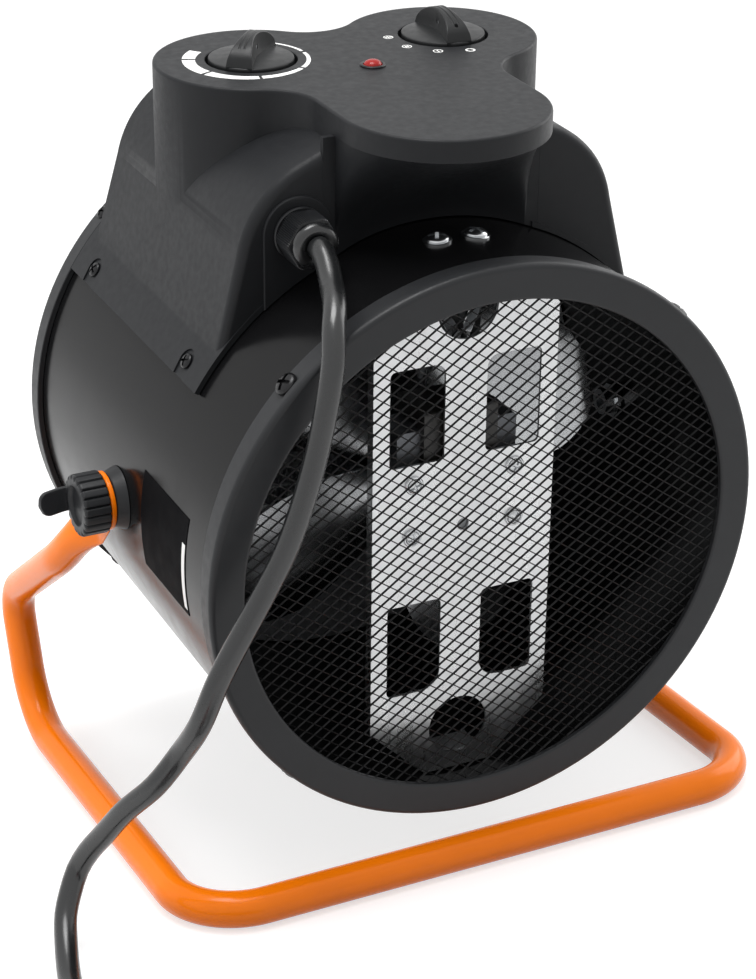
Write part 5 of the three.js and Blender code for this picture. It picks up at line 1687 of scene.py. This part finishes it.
@dataclass
class ControlHousing:
    """The moulded housing: saddle, three lobed panel tower, flange, recesses and rear cover."""

    top: float = PANEL_TOP
    rear: float = 56.2
    front_top: float = -100.0
    front_foot: float = -110.0
    saddle_top: float = 184.0
    saddle_shares: Sequence[Pair] = (
        (0.642, 0.325), (0.535, 0.755), (0.508, 0.891), (0.38, 0.951), (0.245, 0.9945), (0.0, 1.0),
    )
    saddle_lifts: Sequence[float] = (0.0, 0.0, 1.0, 3.0, 6.0, 6.0)
    saddle_edges: Pair = (1.2, 4.5)
    saddle_steps: int = 16
    wall: float = 3.0
    lid_skirt: float = 10.7
    edge: float = 1.5
    tower_radius: float = 48.5
    tower_x: float = 50.2
    tower_shift: float = 1.8
    tower_foot: float = 110.1
    tower_steps: int = 28
    lobe_radius: float = 50.5
    lobe_y: float = 64.7
    fillet: float = 27.0
    hollow: float = 25.0
    least_chord: float = 0.05
    drum_skin: float = 141.8
    flange: float = 2.5
    flange_sunk: float = 2.0
    flange_angle: float = 32.0
    flange_front: float = -113.8
    flange_past: float = 0.8
    recess: float = 22.3
    recess_depth: float = 6.0
    shaft_hole: float = 3.3
    lamp_hole: float = 5.0
    gland_hole: float = 10.3
    pad: float = 17.5
    pad_drop: float = 39.0
    pad_rise: float = 1.5
    pad_edge: float = 0.9
    chin_half: float = 56.5
    chin_y: float = 51.0
    chin_power: float = 1.8
    chin_rows: int = 24
    chin_gap: float = 0.08
    lobe_gap: float = 0.8
    opening: Pair = (114.7, 178.0)
    screw_angles: Pair = (35.3, 144.7)
    screw_rows: Pair = (35.2, -90.8)
    screw_rise: float = 1.5
    seat: float = 6.2
    seat_run: Pair = (4.2, 16.0)
    seat_depth: float = 14.0

    def tower_outline(self, inset_by: float) -> list[Pair]:
        """The three lobed outline of the panel, anticlockwise.

        Args:
            inset_by: how far it is drawn in.

        Returns:
            The outline.
        """
        left, right = self.tower_x + self.tower_shift, self.tower_x - self.tower_shift
        reach = self.tower_radius + self.fillet
        fillet_x = self.lobe_radius + self.fillet
        rises = [math.sqrt(reach**2 - (fillet_x - x) ** 2) for x in (left, right)]
        turns = [math.atan2(rise, fillet_x - x) for rise, x in zip(rises, (left, right))]
        hollow_reach = self.tower_radius + self.hollow
        drop = math.sqrt(hollow_reach**2 - self.tower_x**2)
        hollow_angle = math.atan2(drop, self.tower_x)
        lobe, tower = self.lobe_radius - inset_by, self.tower_radius - inset_by
        fillet, hollow = self.fillet + inset_by, self.hollow + inset_by
        y, pi, steps = KNOB_Y, math.pi, self.tower_steps
        line = [
            *arc((0, self.lobe_y), lobe, 0, pi, 2 * steps),
            *arc((-fillet_x, y + rises[1]), fillet, 0, -turns[1], steps // 2),
            *arc((-right, y), tower, pi - turns[1], 2 * pi - hollow_angle, 2 * steps),
            *arc((self.tower_shift, y - drop), hollow, pi - hollow_angle, hollow_angle, steps // 2),
            *arc((left, y), tower, hollow_angle - pi, turns[0], 2 * steps),
            *arc((fillet_x, y + rises[0]), fillet, pi + turns[0], pi, steps // 2),
        ]
        clean = [line[0]]
        for point in line[1:]:
            if math.dist(point, clean[-1]) > self.least_chord:
                clean.append(point)
        if math.dist(clean[0], clean[-1]) < self.least_chord:
            clean.pop()
        return clean

    def saddle_outline(self, inset_by: float) -> list[Pair]:
        """The saddle's section across the drum, anticlockwise from its right foot.

        Args:
            inset_by: how far it is drawn in.

        Returns:
            The outline.
        """
        points = []
        last = len(self.saddle_shares) - 1
        for i, ((x, z), lift) in enumerate(zip(self.saddle_shares, self.saddle_lifts)):
            across = max(0.0, x * self.saddle_top - inset_by * min(1.0, 4 * x))
            drop = 0.0 if i < 2 else inset_by * i / last
            points.append((across, z * self.saddle_top - drop + lift))
        foot, shoulder, bulge, brow, upper, crown = points
        half = [foot, shoulder]
        for i in range(1, self.saddle_steps + 1):
            t = i / self.saddle_steps
            half.append(tuple(
                (1 - t) ** 2 * a + 2 * t * (1 - t) * b + t * t * c
                for a, b, c in zip(shoulder, bulge, brow)
            ))
        half += [upper, crown]
        other = [(-x, z) for x, z in reversed(half[:-1])]
        return half + other

    def saddle(self, inset_by: float, rear: float) -> Form:
        """The saddle's body, whose front wall leans back from foot to top.

        Args:
            inset_by: how far it is drawn in.
            rear: the place of its rear face.

        Returns:
            The closed form.
        """
        front = self.front_foot + inset_by
        edges = self.saddle_edges if inset_by == 0 else (0.0, 0.0)
        form = plate(self.saddle_outline(inset_by), front, rear, Axis.Y, (), *edges, steps=5)
        foot = DRUM_RADIUS * math.sin(math.radians(self.flange_angle))
        lean = (self.front_top - self.front_foot) / (self.saddle_top - foot)
        for point in form.points:
            if point.y < (rear + front) / 2:
                point.y += lean * (point.z - foot)
        return form

    def flange_form(self) -> Form:
        """The curved flange on the drum.

        Returns:
            The flange.
        """
        start, end = math.radians(self.flange_angle), math.pi - math.radians(self.flange_angle)
        outer, inner = self.drum_skin + self.flange, self.drum_skin - self.flange_sunk
        line = [*arc((0, 0), outer, start, end, 90), *arc((0, 0), inner, end, start, 90)]
        return plate(line, self.flange_front, self.rear + self.flange_past, Axis.Y)

    def pad_form(self) -> Form:
        """The raised pad round the gland, arched above and straight below.

        Returns:
            The pad.
        """
        low = GLAND_Z - self.pad_drop
        line = [
            *arc((GLAND_X, GLAND_Z), self.pad, 0, math.pi, 40),
            (GLAND_X - self.pad, low), (GLAND_X + self.pad, low),
        ]
        return plate(line, self.rear - self.wall, self.rear + self.pad_rise, Axis.Y, (), 0.0, self.pad_edge)

    def chin(self, growth: float) -> Form:
        """The concave sheet from the drum up to the underside of the rear lobe.

        Args:
            growth: how much larger it is all round.

        Returns:
            The sheet.
        """
        lobe = self.lobe_radius - self.lobe_gap
        half = self.chin_half + growth
        top = self.top - self.lid_skirt - 0.1
        bend = [lobe * math.sin(math.radians(angle)) for angle in range(-90, 91, 6)]
        columns = [-half, -self.lobe_radius, *bend, self.lobe_radius, half]
        grid = []
        for i in range(self.chin_rows + 1):
            row = []
            for x in columns:
                lip = self.rear
                if abs(x) < lobe + self.lobe_gap / 2:
                    lip = self.lobe_y + math.sqrt(max(0.0, lobe**2 - x**2))
                foot = math.sqrt(self.drum_skin**2 - x**2)
                base = self.chin_y + (self.rear - self.chin_y) * min(1.0, abs(x) / lobe) ** 3
                z = foot - growth + (top - foot + 2 * growth) * i / self.chin_rows
                rise = max(0.0, z - foot) / (top - foot)
                row.append(Vector((x, base + growth + (lip - base) * rise**self.chin_power, z)))
            grid.append(row)
        return thick_sheet(grid, Vector((0.0, -self.wall - 2 * growth, 0.0)))

    def screw_seats(self) -> list[Spot]:
        """Spots of the four flange screws."""
        return around(self.drum_skin + self.screw_rise, self.screw_rows, self.screw_angles)

    def seat_form(self, place: Triple, out: Triple) -> Form:
        """The recess of a flange screw, round above and running out at the flange's edge.

        Args:
            place: the screw's spot.
            out: its outward direction.

        Returns:
            The form to be cut out.
        """
        across, run = self.seat_run
        line = [*arc((0, 0), self.seat, 0, math.pi, 20), (-across, -run), (across, -run)]
        up = Vector((-out[2], 0.0, out[0]))
        if out[0] < 0:
            up = -up
        turn = Matrix((Vector((0.0, 1.0, 0.0)), up, Vector(out))).transposed().to_4x4()
        return plate(line, 0.0, self.seat_depth).moved(Matrix.Translation(place) @ turn)

    def moulding(self) -> Form:
        """The whole housing as one moulding.

        Returns:
            The housing.
        """
        reach = self.top + 2
        tower = Workpiece(plate(
            self.tower_outline(0), self.tower_foot, self.top, Axis.Z, (), 0.0, self.edge, 4,
        ))
        behind = block((-reach, self.rear, 0), (reach, reach, self.top - self.lid_skirt))
        tower_form = tower.cut(behind).form()
        body = Workpiece(self.saddle(0, self.rear))
        body.join(self.flange_form(), self.pad_form(), tower_form)
        ceiling = self.top - self.wall
        body.cut(
            self.saddle(self.wall, self.rear - self.wall),
            plate(self.tower_outline(self.wall), self.tower_foot - 2, ceiling),
        )
        floor = self.top - self.recess_depth
        under = floor - self.wall
        for x in KNOB_X:
            cup = rod(self.recess + self.wall, under, ceiling + 0.8, Axis.Z, 64)
            body.join(cup.at(x, KNOB_Y, 0))
        mouth = self.recess + 0.9
        lead = turned([
            (0, floor), (self.recess, floor), (self.recess, self.top - 0.8),
            (self.recess + 0.25, self.top - 0.25), (mouth, self.top + 0.02), (mouth, reach), (0, reach),
        ], Axis.Z, 96)
        shaft = rod(self.shaft_hole, under - 2, reach, Axis.Z)
        for x in KNOB_X:
            body.cut(lead.at(x, KNOB_Y, 0), shaft.at(x, KNOB_Y, 0))
        across = self.chin_half - self.wall
        body.cut(
            rod(self.drum_skin, -reach, reach, Axis.Y, 240),
            block((-across, self.chin_y - self.wall - 0.3, self.opening[0]),
                  (across, self.rear + 2.8, self.opening[1])),
            self.chin(self.chin_gap),
            rod(self.lamp_hole, self.top - 5, reach, Axis.Z).at(*LAMP_PLACE),
            rod(self.gland_hole, self.rear - 5, self.rear + 3.5, Axis.Y).at(GLAND_X, 0, GLAND_Z),
        )
        for place, out in self.screw_seats():
            body.cut(self.seat_form(place, out))
        return body.form()

    def build(self, screws: Screws) -> None:
        """Makes the housing, its cover and its screws, and dresses what is inside.

        Args:
            screws: the maker of screw heads.
        """
        piece("housing_moulding", self.moulding(), HOUSING_PLASTIC,
              nodes=("control_housing",), crease=28)
        piece("housing_chin", self.chin(0), HOUSING_PLASTIC, nodes=("housing_rear_cover",), crease=28)
        piece("screws_housing", screws.placed(self.screw_seats(), 0.95), SCREW_BLACK)
        dress(SWITCH_PLASTIC, "thermostat_body", "selector_body", "lamp_body", "terminal_block")
        dress(BRIGHT_STEEL, "thermostat_shaft", "selector_shaft")


@dataclass
class Knob:
    """A turning knob with an arched vane and two grooves."""

    name: str
    node: str
    body: Body
    x: float
    rest: float
    dimple: bool
    base: float = 196.3
    radius: float = 20.9
    disc: float = 7.0
    rise: float = 11.5
    half_length: float = 20.0
    end_half: float = 6.5
    waist_half: float = 3.0
    waist_power: float = 1.7
    foot_flare: float = 0.9
    vane_edge: float = 0.7
    vane_sunk: float = 5.0
    vane_rows: int = 40
    groove: float = 0.62
    groove_shift: float = 1.3
    groove_share: float = 0.74
    groove_lift: float = 0.15
    shaft: float = 3.3
    shaft_depth: float = 12.7

    @property
    def rim(self) -> float:
        """The height of the disc's rim."""
        return self.base + self.disc

    def vane(self) -> Form:
        """The arched vane, wide at both feet and narrow at the top.

        Returns:
            The vane.
        """
        form = Form()
        rings = []
        low = self.rim - self.vane_sunk
        for i in range(self.vane_rows + 1):
            place = 2 * i / self.vane_rows - 1
            arch = math.sqrt(max(0.0, 1 - place**2))
            high = self.rim + self.rise * arch
            half = self.waist_half + (self.end_half - self.waist_half) * abs(place) ** self.waist_power
            edge = min(self.vane_edge, 0.25 * (high - self.rim) + 0.05)
            foot = half + self.foot_flare * arch
            side = [
                (foot, low), (foot, self.rim), (half, self.rim + 0.45 * (high - self.rim)),
                (half, high - edge), (half - edge * 0.35, high - edge * 0.35), (half - edge, high),
            ]
            section = [*side, *[(-y, z) for y, z in reversed(side)]]
            rings.append(form.take([(self.half_length * place, y, z) for y, z in section]))
        add_walls(form, rings)
        form.faces += [tuple(rings[0]), tuple(rings[-1])]
        return form

    def groove_form(self, side: int) -> Form:
        """One of the two grooves over the vane.

        Args:
            side: 1 or -1.

        Returns:
            The form to be cut out.
        """
        line = []
        for i in range(self.vane_rows + 1):
            place = (2 * i / self.vane_rows - 1) * self.groove_share
            high = self.rim + self.rise * math.sqrt(1 - place**2) + self.groove_lift
            line.append(Vector((self.half_length * place, side * self.groove_shift, high)))
        return tube(line, self.groove, 10)

    def form(self) -> Form:
        """The knob at rest.

        Returns:
            The knob.
        """
        rim = self.rim
        disc = turned([
            (0.0, self.base), (self.radius - 0.4, self.base), (self.radius, self.base + 0.5),
            (self.radius, rim - 1.1), (self.radius - 0.3, rim - 0.4), (self.radius - 1.0, rim - 0.05),
            (self.radius * 0.7, rim + 0.45), (self.radius * 0.4, rim + 0.9), (0.0, rim + 1.2),
        ], Axis.Z, 96)
        body = Workpiece(disc).join(self.vane())
        body.cut(self.groove_form(1), self.groove_form(-1))
        body.cut(rod(self.shaft, self.base - 2, self.base + self.shaft_depth, Axis.Z, 24))
        if self.dimple:
            body.cut(rod(1.0, 0, 8, Axis.Z, 16, 0.5).at(15.8, 0, rim + 5.6))
        place = Matrix.Translation((self.x, KNOB_Y, 0.0))
        return body.form().moved(place @ Matrix.Rotation(math.radians(self.rest), 4, "Z"))

    def build(self) -> None:
        """Makes the knob."""
        piece(self.name, self.form(), KNOB_PLASTIC, self.body, nodes=(self.node,), crease=38)


@dataclass
class PanelMarks:
    """The white print round the knobs and the signal lamp."""

    top: float = PANEL_TOP
    sunk: float = 0.05
    thickness: float = 0.12
    scale_centre: Pair = (54.7, -34.2)
    scale_radius: float = 28.9
    scale_steps: int = 16
    segments: Sequence[tuple[float, float, float, float]] = (
        (-50, -25, 6.4, 6.4), (-21, 22, 6.3, 5.9), (25.5, 77, 5.7, 4.3), (80, 127, 4.1, 2.4),
        (131, 179, 2.3, 1.7), (184, 228.5, 1.6, 1.2),
    )
    step_marks: Sequence[tuple[float, float, int]] = (
        (-49.9, -4.6, 0), (-34.7, -9.5, 1), (-24.1, -22.2, 2), (-22.4, -39.7, 3),
    )
    mark: float = 2.5
    mark_lines: Pair = (0.5, 0.9)
    bar_half: float = 0.32
    bar_pitch: float = 1.15
    bar_reach: float = 1.45

    def wedge(self, start: float, end: float, wide: float, narrow: float) -> Form:
        """A ring segment that narrows along its length.

        Args:
            start: first angle in degrees.
            end: last angle in degrees.
            wide: its width at the start.
            narrow: its width at the end.

        Returns:
            The thin solid segment.
        """
        x, y = self.scale_centre
        far, near = [], []
        for i in range(self.scale_steps + 1):
            share = i / self.scale_steps
            angle = math.radians(start + (end - start) * share)
            half = (wide + (narrow - wide) * share) / 2
            for line, radius in ((far, self.scale_radius + half), (near, self.scale_radius - half)):
                line.append((x + radius * math.cos(angle), y + radius * math.sin(angle)))
        return plate([*far, *reversed(near)], self.top - self.sunk, self.top + self.thickness)

    def scale(self) -> Form:
        """The thermostat's graduated ring, widest at its hot end."""
        return Form().add(*[self.wedge(*segment) for segment in self.segments])

    def steps(self) -> Form:
        """The selector's four plain marks: an empty ring, then rings with one to three bars.

        Returns:
            The marks.
        """
        form = Form()
        low, high = self.top - self.sunk, self.top + self.thickness
        for x, y, bars in self.step_marks:
            line = self.mark_lines[0] if bars else self.mark_lines[1]
            form.add(ring(self.mark - line, self.mark, low, high, Axis.Z).at(x, y, 0))
            for i in range(bars):
                shift = self.bar_pitch * (i - (bars - 1) / 2)
                reach = math.sqrt(max(0.2, self.bar_reach**2 - shift**2))
                left, right = x + shift - self.bar_half, x + shift + self.bar_half
                form.add(block((left, y - reach, low), (right, y + reach, high)))
        return form

    def lamp(self) -> Form:
        """The domed lens."""
        foot = [(0.0, self.top - 3), (4.7, self.top - 3), (4.7, self.top + 0.3)]
        return turned([*foot, *quarter((0.0, self.top + 0.4), (4.4, 2.6), 8)], Axis.Z, 40)

    def build(self) -> None:
        """Makes the marks and the lamp."""
        piece("thermostat_scale", self.scale(), PRINT_WHITE)
        piece("selector_marks", self.steps(), PRINT_WHITE)
        piece("lamp_dome", self.lamp().at(*LAMP_PLACE), LAMP_RED, nodes=("lamp_lens",))
        low, high = self.top - 0.1, self.top + 1
        bezel = turned([
            (4.75, low), (6.3, low), (6.3, high - 0.4), (5.9, high), (5.1, high), (4.75, high - 0.3),
        ], Axis.Z, 40)
        piece("lamp_ring", bezel.at(*LAMP_PLACE), KNOB_PLASTIC)


@dataclass
class CableGland:
    """The cable gland: collar, ribbed nut and domed clamping ring."""

    wall: float = 58.0
    nut_low: float = 60.3
    nut_length: float = 14.7
    nut_edges: Pair = (0.5, 1.6)
    size: float = 13.6
    corner_share: float = 0.955
    ribs: int = 78
    rib_depth: float = 0.32
    inner_end: float = 44.2
    cable_hole: float = 5.8
    thread: float = 10.0
    neck: float = 8.0
    neck_end: float = 65.3
    collar: float = 12.9
    collar_length: float = 2.0
    dome: Pair = (3.4, 2.9)
    dome_radius: float = 11.0
    gap: float = 0.3

    def nut_radius(self, angle: float) -> float:
        """The ribbed nut's radius at an angle: a hexagon with turned corners.

        Args:
            angle: the angle in radians.

        Returns:
            The radius.
        """
        sector = math.pi / 3
        within = (angle % sector) - sector / 2
        flat = self.size * math.cos(sector / 2) / math.cos(within)
        return min(flat, self.size * self.corner_share) - self.rib_depth * (1 - math.cos(self.ribs * angle))

    def nut(self) -> Form:
        """The hexagonal nut with ribbed corners and a rounded front, solid behind the clamp ring."""
        outline, high = polar(self.nut_radius, 6 * self.ribs), self.nut_low + self.nut_length
        return plate(outline, self.nut_low, high, Axis.Y, (), *self.nut_edges, 4)

    def collar_form(self) -> Form:
        """The body through the wall, with its collar and its neck under the nut.

        Returns:
            The collar.
        """
        collar, hole = self.collar, self.cable_hole
        end = self.wall + self.collar_length
        return turned([
            (hole, self.inner_end), (self.thread, self.inner_end), (self.thread, self.wall),
            (collar - 0.7, self.wall), (collar, self.wall + 0.5), (collar, end - 0.4),
            (collar - 0.5, end), (self.neck, end), (self.neck, self.neck_end), (hole, self.neck_end),
        ], Axis.Y, 56)

    def clamp_ring(self) -> Form:
        """The domed ring that holds the cable.

        Returns:
            The ring.
        """
        low = self.nut_low + self.nut_length + self.gap
        inner = self.cable_hole - 1.2
        return turned([
            (inner, low), (self.dome_radius, low),
            *quarter((self.dome_radius - self.dome[0], low + 1), self.dome, 5),
            (inner + 1.4, low + 3.6), (inner, low + 3),
        ], Axis.Y, 56)

    def build(self) -> None:
        """Makes the gland and dresses its nut inside the wall."""
        place = (GLAND_X, 0, GLAND_Z)
        piece("gland_collar", self.collar_form().at(*place), GLAND_PLASTIC, nodes=("gland_body",))
        piece("gland_dome_nut", self.nut().at(*place), GLAND_PLASTIC, nodes=("gland_nut",), crease=40)
        piece("gland_clamp_ring", self.clamp_ring().at(*place), CABLE_JACKET, nodes=("gland_seal",))
        dress(GLAND_PLASTIC, "gland_locknut")


@dataclass
class Pivot:
    """One side's washer and clamp knob with its tab."""

    side: int
    boss: float = 16.0
    boss_outer: float = 13.5
    boss_hole: float = 7.3
    boss_inner_face: float = 137.1
    boss_brim: float = 141.0
    boss_edge: float = 1.2
    drum_skin: float = 141.5
    face: float = 147.2
    clamp_low: float = 150.4
    clamp: float = 15.6
    clamp_length: float = 13.6
    clamp_edges: Pair = (0.8, 1.6)
    flutes: int = 20
    flute_depth: float = 1.2
    stud: float = 3.9
    stud_hole: float = 4.2
    stud_start: float = 136.6
    stud_end: float = 160.6
    dish: float = 9.8
    dish_depth: float = 2.0
    tab_path: Sequence[Triple] = (
        (155.5, -12.9, -2.2), (160, -14.3, -2.5), (164, -14.9, -2.7), (168, -14.6, -2.9),
        (178, -12.7, -3.5),
    )
    tab_half: float = 6.2
    tab_thickness: float = 3.0
    tab_corner: float = 5.0
    tab_edge: float = 1.1
    tab_width_axis: Triple = (0.0, 0.25, -0.97)

    def washer(self) -> Form:
        """The moulded washer that follows the drum on its inner face.

        Returns:
            The washer.
        """
        edge = self.boss_edge
        brow = quarter((self.boss_outer - edge / 2, self.face - edge), (edge, edge), 4)
        body = Workpiece(turned([
            (self.boss_hole, self.boss_inner_face), (self.boss, self.boss_inner_face),
            (self.boss, self.boss_brim), (self.boss - 0.4, self.boss_brim + 1), *brow,
            (self.boss_hole, self.face),
        ], Axis.X, 72))
        return body.cut(rod(self.drum_skin, -60, 60, Axis.Y, 240)).form()

    def tab_half_at(self, from_end: float) -> float:
        """Half the tab's width at a distance from its end, less within its round corners."""
        short = max(0.0, self.tab_corner - from_end)
        return self.tab_half - self.tab_corner + math.sqrt(max(0.0, self.tab_corner**2 - short**2))

    def tab(self) -> Form:
        """The tab that grows out of the knob's rim and ends in two round corners.

        Returns:
            The tab.
        """
        path = smooth_curve([Vector(point) for point in self.tab_path], 0.9)
        thin = self.tab_thickness / 2

        def section(index: int) -> list[Pair]:
            """The tab's flat section at a point of its path."""
            half = self.tab_half_at((path[-1] - path[index]).length)
            return rounded_box(-half, -thin, half, thin, [self.tab_edge] * 4, 4)

        return swept(path, section, Vector(self.tab_width_axis))

    def knob(self) -> Form:
        """The fluted clamp knob with its dished face and its tab.

        Returns:
            The knob.
        """
        outline = polar(
            lambda angle: self.clamp - self.flute_depth * max(0.0, math.cos(self.flutes * angle)) ** 4,
            240,
        )
        high = self.clamp_low + self.clamp_length
        body = Workpiece(plate(outline, self.clamp_low, high, Axis.X, (), *self.clamp_edges, 4))
        floor, rim = high - self.dish_depth, self.dish + 0.6
        body.cut(turned([
            (0.0, floor), (self.dish - 1.6, floor), (self.dish - 0.5, floor + 0.5),
            (self.dish, high - 0.6), (rim, high + 0.1), (rim, high + 2), (0.0, high + 2),
        ], Axis.X, 64))
        body.join(self.tab())
        body.cut(rod(self.stud_hole, self.clamp_low - 2, self.stud_end + 0.4, Axis.X, 28))
        return body.form()

    def mirrored(self, form: Form) -> Form:
        """The form on this pivot's side."""
        return form if self.side > 0 else form.moved(Matrix.Scale(-1, 4, (1, 0, 0)))

    def build(self) -> None:
        """Makes the washer and the knob and dresses the threaded pieces."""
        suffix = "left" if self.side > 0 else "right"
        body = Body.CLAMP_LEFT if self.side > 0 else Body.CLAMP_RIGHT
        piece(f"pivot_washer_{suffix}", self.mirrored(self.washer()), CLAMP_PLASTIC,
              nodes=(f"boss_{suffix}",))
        piece(f"clamp_{suffix}", self.mirrored(self.knob()), CLAMP_PLASTIC, body,
              nodes=(f"clamp_knob_{suffix}",), crease=40)
        stud = self.mirrored(rod(self.stud, self.stud_start, self.stud_end, Axis.X, 40, 0.5))
        piece(f"stud_{suffix}", stud, BRIGHT_STEEL, body, nodes=(f"clamp_stud_{suffix}",))
        dress(BRIGHT_STEEL, f"boss_insert_{suffix}")


@dataclass
class Stand:
    """The bent tube stand with a pressed eye at each end."""

    tube_radius: float = 9.0
    half_width: float = 157.0
    eye: float = 14.8
    eye_inner: float = 147.5
    eye_thickness: float = 2.6
    hole: float = 4.2
    flat_start: float = 24.0
    flat_end: float = 58.0
    pivot_height: float = 183.2
    neck: Pair = (19.0, 17.2)
    shoulder: Pair = (54.0, 49.0)
    knee: Pair = (142.5, 102.7)
    foot_front: float = 125.0
    foot_rear: float = 117.6
    bends: Sequence[float] = (30.0, 60.0, 22.0, 40.0, 35.0)
    ease: float = 1.9
    press_power: float = 0.55
    press_gap: Pair = (0.15, 0.8)
    fine_step: float = 3.0
    fine_below: float = -5.0
    fine_above: float = -75.0
    pressed_above: float = -69.0
    eye_edge: float = 0.7
    sides: int = 40

    def half_path(self) -> list[Vector]:
        """Corner points from the eye to the rear foot.

        Returns:
            The points.
        """
        middle = self.eye_inner + self.eye_thickness / 2
        start = self.eye / 2 / math.hypot(*self.neck)
        drop = self.pivot_height - self.tube_radius
        return [
            Vector((middle, -self.neck[0] * start, -self.neck[1] * start)),
            Vector((middle, -self.neck[0], -self.neck[1])),
            Vector((self.half_width, -self.shoulder[0], -self.shoulder[1])),
            Vector((self.half_width, -self.knee[0], -self.knee[1])),
            Vector((self.half_width, -self.foot_front, -drop)),
            Vector((self.half_width, self.foot_rear, -drop)),
        ]

    def section(self, distance: float) -> list[Pair]:
        """The tube's section at a distance from the eye: flat near it and round further on.

        Args:
            distance: how far from the middle of the eye.

        Returns:
            The outline.
        """
        share = (distance - self.flat_start) / (self.flat_end - self.flat_start)
        share = min(1.0, max(0.0, share))
        share = 1 - (1 - share) ** self.ease
        thin = self.eye_thickness / 2 - self.press_gap[0]
        thin += (self.tube_radius - thin) * share
        wide = self.eye - self.press_gap[1]
        wide += (self.tube_radius - wide) * share
        power = self.press_power + (1 - self.press_power) * share
        other = 2 - power if share < 1 else 1.0
        line = []
        for i in range(self.sides):
            angle = 2 * math.pi * i / self.sides
            c, s = math.cos(angle), math.sin(angle)
            line.append((
                thin * math.copysign(abs(c) ** power, c), wide * math.copysign(abs(s) ** other, s),
            ))
        return line

    def form(self) -> Form:
        """The whole stand.

        Returns:
            The stand.
        """
        half = self.half_path()
        corners = [*half, *[Vector((-p.x, p.y, p.z)) for p in reversed(half)]]
        bends = [*self.bends, *reversed(self.bends)]
        rough = filleted_path(corners, bends, 4.0)
        path = [rough[0]]
        for before, after in zip(rough, rough[1:]):
            high, rear = max(before.z, after.z), max(before.y, after.y)
            fine = rear < self.fine_below and high > self.fine_above
            steps = max(1, math.ceil((after - before).length / self.fine_step)) if fine else 1
            path += [before.lerp(after, i / steps) for i in range(1, steps + 1)]

        def section(index: int) -> list[Pair]:
            """The section at a point of the path, pressed flat near the eyes."""
            _, y, z = path[index]
            return self.section(math.hypot(y, z) if y < 0 and z > self.pressed_above else self.flat_end)

        body = Workpiece(swept(path, section, Vector((1.0, 0.0, 0.0))))
        for side in (1, -1):
            low, high = sorted((side * self.eye_inner, side * (self.eye_inner + self.eye_thickness)))
            body.join(rod(self.eye, low, high, Axis.X, 72, self.eye_edge))
            body.cut(rod(self.hole, low - 3, high + 3, Axis.X, 32))
        return body.form()

    def build(self) -> None:
        """Makes the stand."""
        piece("stand_frame", self.form(), STAND_PAINT, Body.STAND, STAND_PLACE, ("stand_tube",), 40.0)


def main() -> None:
    """Builds the studio and every sub-assembly in order."""
    logging.basicConfig(level=logging.INFO, format="%(name)s: %(message)s")
    Studio().build()
    SupplyCable().build(Plug())
    drum = Drum()
    drum.build()
    RatingPlate().build()
    screws = Screws()
    screws.build(drum)
    MotorBracket().build(screws)
    MotorAndFan().build()
    HeatingElements().build()
    ControlHousing().build(screws)
    left, right = KNOB_X
    Knob("dial_thermostat", "thermostat_knob", Body.THERMOSTAT, left, 50.0, False).build()
    Knob("dial_selector", "selector_knob", Body.SELECTOR, right, 87.0, True).build()
    PanelMarks().build()
    CableGland().build()
    for side in (1, -1):
        Pivot(side).build()
    Stand().build()


if __name__ == "__main__":
    main()
